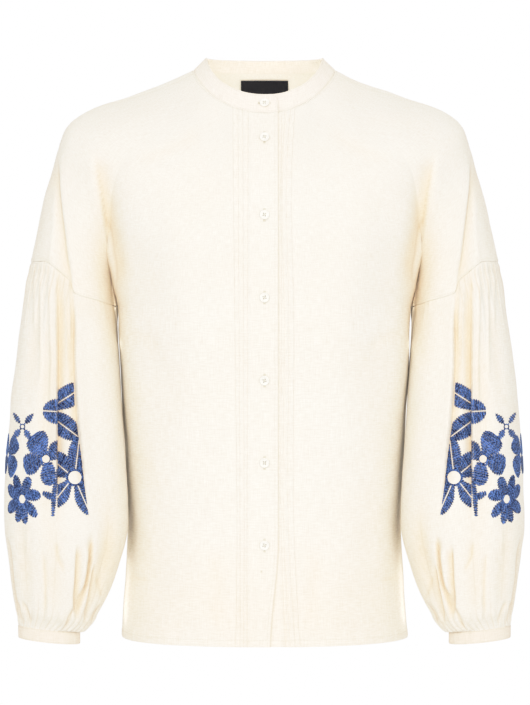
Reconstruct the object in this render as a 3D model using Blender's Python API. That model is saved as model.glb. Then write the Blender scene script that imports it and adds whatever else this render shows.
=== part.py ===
"""Embroidered linen blouse with a stand collar, buttoned front, dropped shoulders and full sleeves.

It hangs as it is worn, filled out with nobody in it. Metres, +Z up, +X to the wearer's left,
-Y the front. The origin is midway between the two points where the shoulder seams meet the
collar. Every panel is a wall of cloth whose outer face is worked out from rings round the
garment, and the panels stand SEAM_GAP apart where a maker would sew them together.
"""

import math

import bpy
import numpy as np

# Cloth
CLOTH = 0.0012  # linen wall
BAND_CLOTH = 0.0018  # collar band and cuffs, two layers with interlining
SEAM_GAP = 0.00036  # between two panels at a seam
LAYER_GAP = 0.0006  # between the two layers of the front overlap

# Front overlap and pin tucks, measured from the centre front towards the panel's own side
OVERLAP = 0.0155  # each front runs this far past the centre
EDGE_SWING = 0.0085  # the upper front's edge draws back this far at the hem
SWING_HEIGHT = 0.115
UNDER_FLAT = 0.0185  # the lower front lies back by one layer as far as this
UNDER_EASE = 0.0320  # and is level with the upper one again from here
FIRST_TUCK = 0.0167
TUCK_STEP = 0.0046
TUCK_COUNT = 4
TUCK_FOOT = 0.0012
TUCK_HEIGHT = 0.0009

# Buttons
BUTTON_WIDTH = 0.011
BUTTON_THICK = 0.0022
BUTTON_SEAT = 0.0003
COLLAR_BUTTON_UP = 0.50  # share of the band's height
FRONT_BUTTON_HEIGHTS = [-0.0827] + [-0.1705 - 0.0915 * step for step in range(5)]

# Collar band
BAND_LEAN_SIDE = 0.0142  # how far the band's top edge leans in at the sides
BAND_LEAN_FRONT = 0.0120
BAND_LEAN_BACK = 0.0120
BAND_RISE_SIDE = 0.0140
BAND_RISE_FRONT = 0.0215
BAND_RISE_BACK = 0.0135
BAND_CORNER = 0.0085

# Woven label inside the back neck
LABEL_WIDTH = 0.056
LABEL_HEIGHT = 0.022
LABEL_THICK = 0.0010
LABEL_TOP = 0.0065  # below the neck seam
LABEL_CLEAR = 0.0009  # from the back's inner face

# Body rings below the armholes, from the underarm down to the hem
UNDERARM_Z = -0.2700
HEM_Z = -0.6490
BODY_COLUMNS = ("height", "half_width", "front_depth", "back_depth", "side_y")
BODY_RINGS = (
    (-0.2700, 0.1680, 0.1270, 0.1020, 0.004),
    (-0.3000, 0.1674, 0.1275, 0.1010, 0.0062),
    (-0.3450, 0.1660, 0.1275, 0.0990, 0.0120),
    (-0.4000, 0.1638, 0.1270, 0.0970, 0.0175),
    (-0.4600, 0.1606, 0.1265, 0.0960, 0.019),
    (-0.5250, 0.1581, 0.1265, 0.0970, 0.018),
    (-0.5850, 0.1606, 0.1275, 0.0990, 0.016),
    (-0.6490, 0.1647, 0.1290, 0.1020, 0.015),
)

# Shoulder rings, from the ring that holds the armhole seams (level 0) up to the neck seam (level 1)
SHOULDER_COLUMNS = (
    "level", "ridge_x", "ridge_z", "ridge_y", "front_z", "front_depth",
    "back_z", "back_depth", "arm_depth", "armpit_x", "arm_share",
)
SHOULDER_RINGS = (
    (0.000, 0.2690, -0.2190, 0.004, -0.2700, 0.1270, -0.2700, 0.1020, 0.059, 0.1680, 1.00),
    (0.125, 0.2580, -0.1680, 0.002, -0.2270, 0.1235, -0.2050, 0.1030, 0.058, 0.1745, 0.74),
    (0.250, 0.2475, -0.1260, 0.000, -0.1940, 0.1200, -0.1560, 0.1020, 0.056, 0.1810, 0.46),
    (0.375, 0.2372, -0.0900, 0.000, -0.1640, 0.1155, -0.1120, 0.0990, 0.053, 0.1870, 0.22),
    (0.500, 0.2255, -0.0615, 0.000, -0.1380, 0.1100, -0.0760, 0.0945, 0.050, 0.1850, 0.08),
    (0.625, 0.2005, -0.0435, 0.000, -0.1150, 0.1040, -0.0470, 0.0880, 0.048, 0.1700, 0.00),
    (0.750, 0.1585, -0.0285, 0.000, -0.0910, 0.0960, -0.0240, 0.0790, 0.046, 0.1300, 0.00),
    (0.875, 0.1125, -0.0125, 0.000, -0.0700, 0.0865, -0.0060, 0.0700, 0.044, 0.1000, 0.00),
    (1.000, 0.0812, 0.0025, 0.000, -0.0535, 0.0780, 0.0050, 0.0620, 0.042, 0.0700, 0.00),
)
ROUNDNESS = 0.87  # 1 is an ellipse; less is squarer
NECK_SWEEP = 1.3
SEAM_FLAT = 0.82  # the armhole seam has climbed by this share of its width
SEAM_CURVE = 1.55  # and climbs later as this grows
SEAM_FORWARD = 0.17  # the shoulder seam lies this far in front of the ridge, in quarter turns
SEAM_FORWARD_FROM = 0.60
SEAM_FORWARD_FULL = 0.86
CREASE_WIDTH = 0.0016  # the foot of the armpit crease
CREASE_SPAN = 0.01  # the same in quarter turns
UNDERARM_NORMAL = (0.0, 0.0, -2.6)  # the wall is thicker where four seams meet

# Sleeve sections below the armhole seam
SLEEVE_COLUMNS = ("height", "inner_x", "outer_x", "middle_y", "half_depth")
SLEEVE_SECTIONS = (
    (-0.2180, 0.1680, 0.2690, 0.004, 0.0590),
    (-0.2680, 0.1692, 0.2770, 0.000, 0.0600),
    (-0.3030, 0.1682, 0.2815, -0.007, 0.0610),
    (-0.3370, 0.1656, 0.2850, -0.015, 0.0625),
    (-0.3890, 0.1622, 0.2896, -0.026, 0.0650),
    (-0.4400, 0.1582, 0.2932, -0.036, 0.0670),
    (-0.4920, 0.1548, 0.2944, -0.044, 0.0675),
    (-0.5270, 0.1552, 0.2934, -0.048, 0.0655),
    (-0.5610, 0.1640, 0.2896, -0.051, 0.0595),
    (-0.5960, 0.1767, 0.2845, -0.054, 0.0500),
    (-0.6150, 0.1872, 0.2806, -0.056, 0.0420),
    (-0.6260, 0.1958, 0.2788, -0.057, 0.0350),
    (-0.6375, 0.2075, 0.2780, -0.057, 0.0290),
)
CUFF_MIDDLE = (0.2428, -0.057)
CUFF_HALF_WIDTH = 0.0350
CUFF_HALF_DEPTH = 0.0290
CUFF_OUTER_Z = -0.6292
CUFF_INNER_Z = -0.6365
CUFF_HEIGHT = 0.0142
SLEEVE_INSET = 0.0004  # the sleeve's end sits this far inside the cuff's outer face
GATHERS = 24
HEAD_GATHER = 0.0014
CUFF_GATHER = 0.0013

# Long sleeve folds: where each lies round the sleeve in degrees, from the inner side over the
# front, its share of the way down where it starts, is deepest and ends, and its depth and width
FOLD_COLUMNS = ("turn", "drift", "start", "middle", "end", "depth", "width")
SLEEVE_FOLDS = (
    (106.0, -4.0, 0.02, 0.40, 0.90, -0.0050, 10.0),
    (88.0, -26.0, 0.02, 0.45, 0.97, 0.0030, 10.0),
    (54.0, -16.0, 0.52, 0.84, 1.00, -0.0050, 10.0),
    (128.0, 2.0, 0.02, 0.20, 0.50, -0.0024, 9.0),
    (137.0, -8.0, 0.55, 0.84, 1.00, -0.0028, 10.0),
    (98.0, -4.0, 0.62, 0.86, 1.00, -0.0030, 10.0),
    (228.0, 6.0, 0.04, 0.45, 0.92, -0.0048, 12.0),
    (268.0, -10.0, 0.10, 0.60, 0.97, -0.0042, 12.0),
    (305.0, 6.0, 0.40, 0.80, 1.00, -0.0042, 12.0),
    (196.0, 4.0, 0.50, 0.80, 1.00, -0.0026, 10.0),
)

# How finely the solids are cut
SIDE_COLUMNS = 8
CAP_COLUMNS = 12
BACK_COLUMNS = 9
SHOULDER_LEVELS = (0.0, 0.045, 0.10, 0.18, 0.28, 0.38, 0.46, 0.53, 0.60, 0.70, 0.80, 0.90, 1.0)
BODY_HEIGHTS = (-0.6490, -0.6050, -0.5500, -0.4950, -0.4400, -0.3850, -0.3300, -0.2920)
SLEEVE_STEPS = (0.0, 0.015, 0.045, 0.10, 0.19, 0.31, 0.45, 0.59, 0.71, 0.81, 0.885, 0.94, 0.975, 1.0)
BUTTON_SIDES = 14

LINEN = (0.90, 0.86, 0.76, 1.0)
BAND_LINEN = (0.89, 0.84, 0.74, 1.0)
BUTTON_WHITE = (0.92, 0.92, 0.90, 1.0)
LABEL_BLACK = (0.03, 0.03, 0.035, 1.0)


def ease(share):
    """0 before 0, 1 after 1 and a smooth rise between."""
    share = np.clip(share, 0.0, 1.0)
    return share * share * (3 - 2 * share)


def smooth_through(known_x, known_y, x):
    """A smooth curve through the known points, as a cubic between each two."""
    known_x, known_y = np.asarray(known_x, float), np.asarray(known_y, float)
    slopes = np.gradient(known_y, known_x)
    x = np.clip(np.asarray(x, float), known_x[0], known_x[-1])
    left = np.clip(np.searchsorted(known_x, x, side="right") - 1, 0, len(known_x) - 2)
    gap = known_x[left + 1] - known_x[left]
    s = (x - known_x[left]) / gap
    return (
        known_y[left] * (2 * s**3 - 3 * s**2 + 1)
        + slopes[left] * gap * (s**3 - 2 * s**2 + s)
        + known_y[left + 1] * (3 * s**2 - 2 * s**3)
        + slopes[left + 1] * gap * (s**3 - s**2)
    )


def reader(columns, rows):
    """A function that reads one named column of a table at any value of its first column."""
    data = np.array(sorted(rows), float)

    def read(name, at):
        return smooth_through(data[:, 0], data[:, columns.index(name)], at)

    return read


body = reader(BODY_COLUMNS, BODY_RINGS)
shoulder = reader(SHOULDER_COLUMNS, SHOULDER_RINGS)
sleeve_section = reader(SLEEVE_COLUMNS, SLEEVE_SECTIONS)


def signed_power(value, exponent):
    return np.sign(value) * np.abs(value) ** exponent


def shoulder_quarter(level, t, side):
    """One quarter of a shoulder ring: t is 0 at the centre line, 1 at the armpit, 2 at the ridge."""
    depth = shoulder(side + "_depth", level)
    centre_z = shoulder(side + "_z", level)
    ridge_x, ridge_z = shoulder("ridge_x", level), shoulder("ridge_z", level)
    armpit_x, arm_share = shoulder("armpit_x", level), np.clip(shoulder("arm_share", level), 0, 1)
    on_body = np.abs(t) <= 1
    body_turn = np.clip(t, -1, 1) * math.pi / 2
    arm_turn = np.clip(np.abs(t) - 1, 0, 1) * math.pi
    across = (1 - np.cos(arm_turn)) / 2
    crease = CREASE_WIDTH * np.clip((np.abs(t) - 1) / CREASE_SPAN, 0, 1)
    apart_x = np.where(
        on_body,
        armpit_x * signed_power(np.sin(body_turn), ROUNDNESS),
        np.sign(t) * (armpit_x + crease + (ridge_x - armpit_x - crease) * across),
    )
    apart_depth = np.where(
        on_body,
        depth * np.abs(np.cos(body_turn)) ** ROUNDNESS,
        shoulder("arm_depth", level) * np.sin(arm_turn),
    )
    apart_rise = np.where(on_body, 0.0, ease((across / SEAM_FLAT) ** SEAM_CURVE))
    turn = np.clip(t, -2, 2) * math.pi / 4
    level_cos = np.clip(np.cos(turn), 0, 1)
    x = arm_share * apart_x + (1 - arm_share) * ridge_x * np.sin(turn)
    out = arm_share * apart_depth + (1 - arm_share) * depth * level_cos
    rise = arm_share * apart_rise + (1 - arm_share) * (1 - level_cos**NECK_SWEEP)
    return x, out, centre_z + (ridge_z - centre_z) * rise


def shoulder_point(level, around):
    """A point of a shoulder ring on the +X half. around is 0 at the centre front, 2 at the ridge and
    4 at the centre back."""
    level, around = np.broadcast_arrays(np.asarray(level, float), np.asarray(around, float))
    front = shoulder_quarter(level, around, "front")
    back = shoulder_quarter(level, 4 - around, "back")
    in_front = around <= 2
    x, out, z = (np.where(in_front, f, b) for f, b in zip(front, back))
    y = shoulder("ridge_y", level) + np.where(in_front, -out, out)
    return np.stack([x, y, z], axis=-1)


def body_point(height, around):
    """A point of a body ring on the +X half. around is 0 at the centre front, 1 and 3 at the side
    seam and 4 at the centre back."""
    height, around = np.broadcast_arrays(np.asarray(height, float), np.asarray(around, float))
    in_front = around <= 1.5
    turn = np.where(in_front, around, 4 - around) * math.pi / 2
    x = body("half_width", height) * signed_power(np.sin(turn), ROUNDNESS)
    depth = np.where(in_front, body("front_depth", height), body("back_depth", height))
    out = depth * signed_power(np.cos(turn), ROUNDNESS)
    y = body("side_y", height) + np.where(in_front, -out, out)
    return np.stack([x, y, height], axis=-1)


def garment_point(down, around):
    """A point of the body or, above the underarm, of the shoulders. down is a height below the
    underarm and 0 to 1 above it, where 1 is the neck seam."""
    down = np.asarray(down, float)
    below = down < 0
    lower = body_point(np.where(below, down, UNDERARM_Z), around)
    upper = shoulder_point(np.where(below, 0.0, down), around)
    return np.where(below[..., None], lower, upper)


def normals_of(point, rows, columns, row_step, column_step):
    """Outward unit normals of a surface given as point(row, column), which runs on past each seam."""
    along = point(rows + row_step, columns) - point(rows - row_step, columns)
    around = point(rows, columns + column_step) - point(rows, columns - column_step)
    normal = np.cross(around, along)
    return normal / np.maximum(np.linalg.norm(normal, axis=-1, keepdims=True), 1e-12)


def around_for_x(level_point, row, x_wanted):
    """How far round a ring the point with this x lies."""
    samples = np.linspace(-0.5, 1.0, 151)
    return np.interp(x_wanted, level_point(np.full(samples.shape, row), samples)[:, 0], samples)


def front_columns(row, edge_swing):
    """Where the columns of a front lie round the ring at this row, from its edge to the side or armhole."""
    height = row if row < 0 else float(shoulder_point(row, 0.0)[2])
    swing = edge_swing * float(ease((HEM_Z + SWING_HEIGHT - height) / SWING_HEIGHT))
    fixed = [-OVERLAP + swing, 0.0, FIRST_TUCK - 2 * TUCK_FOOT]
    for tuck in range(TUCK_COUNT):
        ridge = FIRST_TUCK + TUCK_STEP * tuck
        fixed += [ridge - TUCK_FOOT, ridge]
    fixed.append(FIRST_TUCK + TUCK_STEP * TUCK_COUNT - TUCK_FOOT)
    near = around_for_x(garment_point, row, np.array(fixed))
    share = np.linspace(0, 1, SIDE_COLUMNS + 1)[1:]
    side = near[-1] + (1 - near[-1]) * share
    reach = 2 - shoulder_seam_shift(row)
    return np.concatenate([near, side, cap_columns(reach)])


def cap_columns(reach):
    """Columns over the upper arm, from the far side of the armpit crease as far round as reach."""
    return 1 + np.concatenate([[CREASE_SPAN], (reach - 1) * np.linspace(0, 1, CAP_COLUMNS + 1)[1:]])


def shoulder_seam_shift(row):
    return SEAM_FORWARD * float(ease((row - SEAM_FORWARD_FROM) / (SEAM_FORWARD_FULL - SEAM_FORWARD_FROM)))


def panel_rows():
    return np.array(list(BODY_HEIGHTS) + list(SHOULDER_LEVELS))


def garment_normals(rows, columns):
    """Outward normals of the body below the underarm and of the shoulders above it."""
    below = garment_normals_part(np.where(rows < 0, rows, -0.30), columns, 0.002)
    above = garment_normals_part(np.where(rows < 0, 0.5, rows), columns, 0.004)
    return np.where((rows < 0)[..., None], below, above)


def garment_normals_part(rows, columns, row_step):
    def point(row, column):
        if row_step < 0.003:
            return body_point(np.clip(row, HEM_Z, UNDERARM_Z), column)
        return shoulder_point(np.clip(row, 0, 1), column)

    return normals_of(point, rows, columns, row_step, 0.01)


def cell_corners(row, column, columns):
    after = (column + 1) % columns
    return [(row, column), (row, after), (row + 1, after), (row + 1, column)]


def pulled_in(points, cells):
    """Moves the edge of a grid of cells inwards by half a seam gap, square to each stretch of it."""
    edges = {}
    for r, c in zip(*np.nonzero(cells)):
        ring = cell_corners(r, c, points.shape[1])
        centre = sum(points[k] for k in ring) / 4
        for a, b in zip(ring, ring[1:] + ring[:1]):
            if (b, a) in edges:
                del edges[(b, a)]
            else:
                edges[(a, b)] = centre
    inward = {}
    for (a, b), centre in edges.items():
        along = (points[b] - points[a]) / np.linalg.norm(points[b] - points[a])
        towards = centre - points[a]
        towards = towards - along * (towards @ along)
        for corner in (a, b):
            inward.setdefault(corner, []).append(towards / np.linalg.norm(towards))
    moved = points.copy()
    for corner, (first, second) in inward.items():
        moved[corner] += SEAM_GAP / 2 * (first + second) / (1 + first @ second)
    return moved


def wall_mesh(name, outer, inner, cells):
    """One closed wall between an outer and an inner grid of points, over the cells that are set."""
    used, points, faces, open_edges = {}, [], [], {}

    def index(layer, corner):
        if (layer, corner) not in used:
            used[(layer, corner)] = len(points)
            points.append((outer, inner)[layer][corner])
        return used[(layer, corner)]

    for r, c in zip(*np.nonzero(cells)):
        ring = cell_corners(r, c, outer.shape[1])
        place = [outer[k] for k in ring]
        if np.linalg.norm(place[2] - place[0]) > np.linalg.norm(place[3] - place[1]) + 1e-7:
            ring = ring[1:] + ring[:1]
        for triangle in ((ring[0], ring[1], ring[2]), (ring[0], ring[2], ring[3])):
            faces.append([index(0, k) for k in triangle])
            faces.append([index(1, k) for k in reversed(triangle)])
        for a, b in zip(ring, ring[1:] + ring[:1]):
            if (b, a) in open_edges:
                del open_edges[(b, a)]
            else:
                open_edges[(a, b)] = True
    for a, b in open_edges:
        faces.append([index(0, b), index(0, a), index(1, a), index(1, b)])
    mesh = bpy.data.meshes.new(name)
    mesh.from_pydata([tuple(map(float, p)) for p in points], [], faces)
    mesh.validate()
    return mesh


def material(name, colour, roughness):
    made = bpy.data.materials.new(name)
    made.use_nodes = True
    shader = made.node_tree.nodes["Principled BSDF"]
    shader.inputs["Base Color"].default_value = colour
    shader.inputs["Roughness"].default_value = roughness
    shader.inputs["Metallic"].default_value = 0.0
    return made


def add_object(name, mesh, surface):
    """Links a mesh as one named piece, facing out, in its material."""
    made = bpy.data.objects.new(name, mesh)
    bpy.context.scene.collection.objects.link(made)
    mesh.materials.append(surface)
    mesh.shade_smooth()
    mesh.set_sharp_from_angle(angle=math.radians(40))
    return made


def mirrored(points):
    return points * np.array([-1.0, 1.0, 1.0])


def underlap(x, recess):
    """How far the lower layer of the overlap lies back, by its distance from the centre front."""
    return recess * ease((UNDER_EASE - x) / (UNDER_EASE - UNDER_FLAT))


def front_panel(name, side, upper, surface):
    """A front from its edge to the side seam, armhole and shoulder seam. side is +1 for +X."""
    rows = panel_rows()
    around = np.array([front_columns(row, EDGE_SWING if upper else 0.0) for row in rows])
    row_grid = np.repeat(rows[:, None], around.shape[1], axis=1)
    outer = garment_point(row_grid, around)
    normal = garment_normals(row_grid, around)
    underarm = 3 + 2 * TUCK_COUNT + SIDE_COLUMNS
    first_shoulder_row = len(BODY_HEIGHTS)
    normal[first_shoulder_row, underarm] = UNDERARM_NORMAL
    cells = np.ones((len(rows) - 1, around.shape[1] - 1), bool)
    cells[:first_shoulder_row, underarm:] = False
    outer = pulled_in(outer, cells)
    if not upper:
        outer[..., 1] += underlap(outer[..., 0], BAND_CLOTH + LAYER_GAP)
    thickness = np.full(around.shape[1], CLOTH)
    thickness[:3] = BAND_CLOTH
    inner = outer - thickness[None, :, None] * normal
    tuck_ridges = [4 + 2 * tuck for tuck in range(TUCK_COUNT)]
    outer[:, tuck_ridges] += TUCK_HEIGHT * normal[:, tuck_ridges]
    return finish_panel(name, outer, inner, cells, side, surface)


def finish_panel(name, outer, inner, cells, side, surface):
    """Turns the panel to its own side, keeping its faces outwards."""
    if side < 0:
        outer, inner = mirrored(outer), mirrored(inner)
        outer, inner, cells = outer[:, ::-1], inner[:, ::-1], cells[:, ::-1]
    return add_object(name, wall_mesh(name, outer, inner, cells), surface)


def back_columns(row):
    """Where the columns of half the back lie round the ring, from the centre back to its seams."""
    reach = 2 + shoulder_seam_shift(row)
    return 4 - np.concatenate([np.linspace(0, 1, BACK_COLUMNS + 1), cap_columns(reach)])


def back_half():
    """Outer points and normals of half the back, from the centre back to its seams on +X."""
    rows = panel_rows()
    around = np.array([back_columns(row) for row in rows])
    row_grid = np.repeat(rows[:, None], around.shape[1], axis=1)
    outer = garment_point(row_grid, around)
    normal = garment_normals(row_grid, around)
    first_shoulder_row = len(BODY_HEIGHTS)
    normal[first_shoulder_row, BACK_COLUMNS] = UNDERARM_NORMAL
    return outer, normal


def back_panel(name, surface):
    """The back in one piece, over the ridge to the shoulder seams in front of it."""
    outer, normal = back_half()
    outer = np.concatenate([outer[:, :0:-1], mirrored(outer)], axis=1)
    normal = np.concatenate([normal[:, :0:-1], mirrored(normal)], axis=1)
    cells = np.ones((outer.shape[0] - 1, outer.shape[1] - 1), bool)
    cells[: len(BODY_HEIGHTS), : CAP_COLUMNS + 1] = False
    cells[: len(BODY_HEIGHTS), -CAP_COLUMNS - 1 :] = False
    outer = pulled_in(outer, cells)
    return add_object(name, wall_mesh(name, outer, outer - CLOTH * normal, cells), surface)


def armhole_loop(steps):
    """The armhole seam on +X with its normals, on the bodice's own straight edges between its columns.
    It runs from the underarm over the front to the shoulder tip and back down behind."""
    front_half = np.concatenate([[1.0], cap_columns(2.0)])
    corners = np.concatenate([front_half, 4 - front_half[-2::-1]])
    seam = shoulder_point(np.zeros(corners.shape), corners)
    out = garment_normals(np.zeros(corners.shape), corners)
    out[0] = out[-1] = (-1, 0, 0)
    at = np.linspace(1, 3, steps + 1)[:-1]
    points = np.stack([np.interp(at, corners, seam[:, k]) for k in range(3)], axis=-1)
    normals = np.stack([np.interp(at, corners, out[:, k]) for k in range(3)], axis=-1)
    return points, normals / np.linalg.norm(normals, axis=-1, keepdims=True)


def sleeve_base(share, turn):
    """A point of the smooth sleeve on +X. share is 0 at the armhole seam and 1 at the cuff, and turn
    goes from the inner side over the front, in radians."""
    share, turn = np.broadcast_arrays(np.asarray(share, float), np.asarray(turn, float))
    seam = shoulder_point(np.zeros(turn.shape), 1 + (turn % (2 * math.pi)) / math.pi)
    inner_share = (1 + np.cos(turn)) / 2
    end_z = CUFF_OUTER_Z + (CUFF_INNER_Z - CUFF_OUTER_Z) * inner_share
    height = seam[..., 2] + (end_z - seam[..., 2]) * share
    inner_x, outer_x = sleeve_section("inner_x", height), sleeve_section("outer_x", height)
    x = (inner_x + outer_x) / 2 - (outer_x - inner_x) / 2 * np.cos(turn)
    y = sleeve_section("middle_y", height) - sleeve_section("half_depth", height) * np.sin(turn)
    end_x = CUFF_MIDDLE[0] - (CUFF_HALF_WIDTH - SLEEVE_INSET) * np.cos(turn)
    end_y = CUFF_MIDDLE[1] - (CUFF_HALF_DEPTH - SLEEVE_INSET) * np.sin(turn)
    at_seam, at_cuff = 1 - ease(share / 0.06), ease((share - 0.955) / 0.045)
    x = x + (seam[..., 0] - x) * at_seam + (end_x - x) * at_cuff
    y = y + (seam[..., 1] - y) * at_seam + (end_y - y) * at_cuff
    return np.stack([x, y, height], axis=-1)


def sleeve_relief(share, turn):
    """How far the sleeve's folds and gathers stand out from its smooth form."""
    clear_of_body = ease((1 - np.cos(turn)) / 0.35)
    wave = np.cos(GATHERS * turn)
    head = HEAD_GATHER * ease(share / 0.03) * (1 - ease((share - 0.03) / 0.16))
    cuff = CUFF_GATHER * ease((share - 0.72) / 0.20) * (1 - 0.55 * ease((share - 0.96) / 0.04))
    relief = (head * clear_of_body + cuff) * wave
    for row in SLEEVE_FOLDS:
        fold = dict(zip(FOLD_COLUMNS, row))
        line = math.radians(fold["turn"]) + math.radians(fold["drift"]) * share
        off = (turn - line + math.pi) % (2 * math.pi) - math.pi
        rise = ease((share - fold["start"]) / (fold["middle"] - fold["start"]))
        fall = 1 - ease((share - fold["middle"]) / (fold["end"] - fold["middle"]))
        across = np.exp(-((off / math.radians(fold["width"])) ** 2))
        relief = relief + fold["depth"] * rise * fall * across
    return relief * ease(share / 0.02) * (1 - 0.9 * ease((share - 0.985) / 0.015))


def sleeve_point(share, turn):
    base = sleeve_base(share, turn)
    out = normals_of(sleeve_base, np.clip(share, 0.004, 0.996), turn, 0.003, 0.01)
    return base + sleeve_relief(share, turn)[..., None] * out


def sleeve(name, side, surface):
    """A full sleeve, gathered to the armhole and to the cuff."""
    columns = 2 * GATHERS
    turns = np.arange(columns) * 2 * math.pi / columns
    share_grid, turn_grid = np.meshgrid(np.array(SLEEVE_STEPS), turns, indexing="ij")
    outer = sleeve_point(share_grid, turn_grid)
    inside = np.clip(share_grid, 0.012, 0.992)
    normal = -normals_of(sleeve_point, inside, turn_grid, 0.006, 0.06)
    normal = np.where(np.sum(normal * smooth_out(turn_grid), -1, keepdims=True) < 0, -normal, normal)
    outer[0], normal[0] = armhole_loop(columns)
    outer[0, 0, 0] += SEAM_GAP
    cells = np.ones((len(SLEEVE_STEPS) - 1, columns), bool)
    outer = pulled_in(outer, cells)
    inner = outer - CLOTH * normal
    outer, inner = outer[::-1], inner[::-1]
    if side < 0:
        outer, inner = mirrored(outer)[:, ::-1], mirrored(inner)[:, ::-1]
    return add_object(name, wall_mesh(name, outer, inner, cells), surface)


def smooth_out(turn):
    return np.stack([-np.cos(turn), -np.sin(turn), 0 * turn], axis=-1)


def cuff(name, side, surface):
    """A narrow band round the sleeve's end."""
    columns = 2 * GATHERS
    turn = np.arange(columns) * 2 * math.pi / columns
    inner_share = (1 + np.cos(turn)) / 2
    top = CUFF_OUTER_Z + (CUFF_INNER_Z - CUFF_OUTER_Z) * inner_share - SEAM_GAP / 2
    out = smooth_out(turn)
    outer = np.zeros((2, columns, 3))
    for row, drop in enumerate((CUFF_HEIGHT, 0.0)):
        outer[row, :, 0] = CUFF_MIDDLE[0] - CUFF_HALF_WIDTH * np.cos(turn)
        outer[row, :, 1] = CUFF_MIDDLE[1] - CUFF_HALF_DEPTH * np.sin(turn)
        outer[row, :, 2] = top - drop
    inner = outer - BAND_CLOTH * out[None]
    if side < 0:
        outer, inner = mirrored(outer)[:, ::-1], mirrored(inner)[:, ::-1]
    cells = np.ones((1, columns), bool)
    return add_object(name, wall_mesh(name, outer, inner, cells), surface)


def neck_ring(angle):
    """A point of the neck seam, by its angle from the centre front towards +X."""
    turn = (angle + math.pi) % (2 * math.pi) - math.pi
    around = np.abs(turn) / (math.pi / 2) * 2
    point = shoulder_point(np.ones(np.shape(angle)), around)
    point[..., 0] *= np.sign(turn) + (turn == 0)
    return point


def band_point(angle, up):
    """A point of the collar band's outer face. up is 0 at the neck seam and 1 at the top edge."""
    seam = neck_ring(angle)
    front, back = np.clip(np.cos(angle), 0, 1), np.clip(-np.cos(angle), 0, 1)
    side = 1 - front - back
    rise = BAND_RISE_SIDE * side + BAND_RISE_FRONT * front + BAND_RISE_BACK * back
    lean_y = BAND_LEAN_FRONT * front - BAND_LEAN_BACK * back
    lean_x = -BAND_LEAN_SIDE * np.sin(angle) * np.abs(np.sin(angle))
    return seam + np.stack([lean_x * up, lean_y * up, rise * up + SEAM_GAP], axis=-1)


def band_angles():
    """Angles of the band's columns, which are those of the panels under it."""
    half = np.concatenate([front_columns(1.0, 0.0), back_columns(1.0)[::-1][1:]])
    return np.concatenate([half, (8 - half)[::-1][1:]]) * math.pi / 4


def collar_band(name, surface):
    """The stand collar: from the hidden end under the overlap, round the back, to the rounded end on top."""
    angle = band_angles()
    end = np.clip((angle[-1] - angle) * float(shoulder("front_depth", 1.0)) / BAND_CORNER, 0, 1)
    top = 1 - (1 - np.sqrt(1 - (1 - end) ** 2)) * BAND_CORNER / BAND_RISE_FRONT
    angle_grid = np.repeat(angle[None], 3, axis=0)
    up_grid = np.stack([0 * top, 0.5 * top, top])
    outer = band_point(angle_grid, up_grid)
    normal = normals_of(lambda up, turn: band_point(turn, up), up_grid, angle_grid, 0.05, 0.02)
    lower = angle_grid < math.pi / 2
    outer[..., 1] += np.where(lower, underlap(outer[..., 0], BAND_CLOTH + LAYER_GAP), 0)
    inner = outer - BAND_CLOTH * normal
    cells = np.ones((2, len(angle) - 1), bool)
    return add_object(name, wall_mesh(name, outer, inner, cells), surface)


def neck_label(name, surface):
    """The woven label, hanging flat inside the back just below the collar."""
    half = LABEL_WIDTH / 2
    across = np.linspace(-half, half, 9)
    rows = []
    for drop in (LABEL_TOP + LABEL_HEIGHT, LABEL_TOP):
        level = 1 - drop / 0.075
        samples = np.linspace(2.4, 4.0, 161)
        ring = shoulder_point(np.full(samples.shape, level), samples)
        around = np.interp(-np.abs(across), -ring[:, 0], samples)
        points = shoulder_point(np.full(around.shape, level), around)
        out = garment_normals(np.full(around.shape, level), around)
        points = points - (CLOTH + LABEL_CLEAR) * out
        points[:, 0] *= np.where(across < 0, -1, 1)
        out[:, 0] *= np.where(across < 0, -1, 1)
        rows.append((points, points - LABEL_THICK * out))
    outer = np.stack([rows[0][0], rows[1][0]])[:, ::-1]
    inner = np.stack([rows[0][1], rows[1][1]])[:, ::-1]
    cells = np.ones((1, len(across) - 1), bool)
    return add_object(name, wall_mesh(name, outer, inner, cells), surface)


def button(name, seat, facing, surface):
    """A round shirt button with a raised rim, its back on the cloth at seat."""
    radius = BUTTON_WIDTH / 2
    profile = (
        (0.0, 0.0), (radius * 0.86, 0.0), (radius, BUTTON_THICK * 0.4),
        (radius * 0.90, BUTTON_THICK), (radius * 0.62, BUTTON_THICK * 0.68), (0.0, BUTTON_THICK * 0.62),
    )
    points, faces = [], []
    facing = np.array(facing, float) / np.linalg.norm(facing)
    right = np.cross((0.0, 0.0, 1.0), facing)
    right /= np.linalg.norm(right)
    upward = np.cross(facing, right)
    for distance, height in profile:
        for side in range(BUTTON_SIDES if distance else 1):
            turn = 2 * math.pi * side / BUTTON_SIDES
            offset = distance * (math.cos(turn) * right + math.sin(turn) * upward)
            points.append(tuple(np.array(seat) + offset + height * facing))
    rings = [list(range(1 + BUTTON_SIDES * k, 1 + BUTTON_SIDES * (k + 1))) for k in range(4)]
    last = 1 + 4 * BUTTON_SIDES
    for side in range(BUTTON_SIDES):
        after = (side + 1) % BUTTON_SIDES
        faces.append([0, rings[0][after], rings[0][side]])
        faces.append([rings[3][side], rings[3][after], last])
        for low, high in zip(rings, rings[1:]):
            faces.append([low[side], low[after], high[after], high[side]])
    mesh = bpy.data.meshes.new(name)
    mesh.from_pydata(points, [], faces)
    return add_object(name, mesh, surface)


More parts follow.
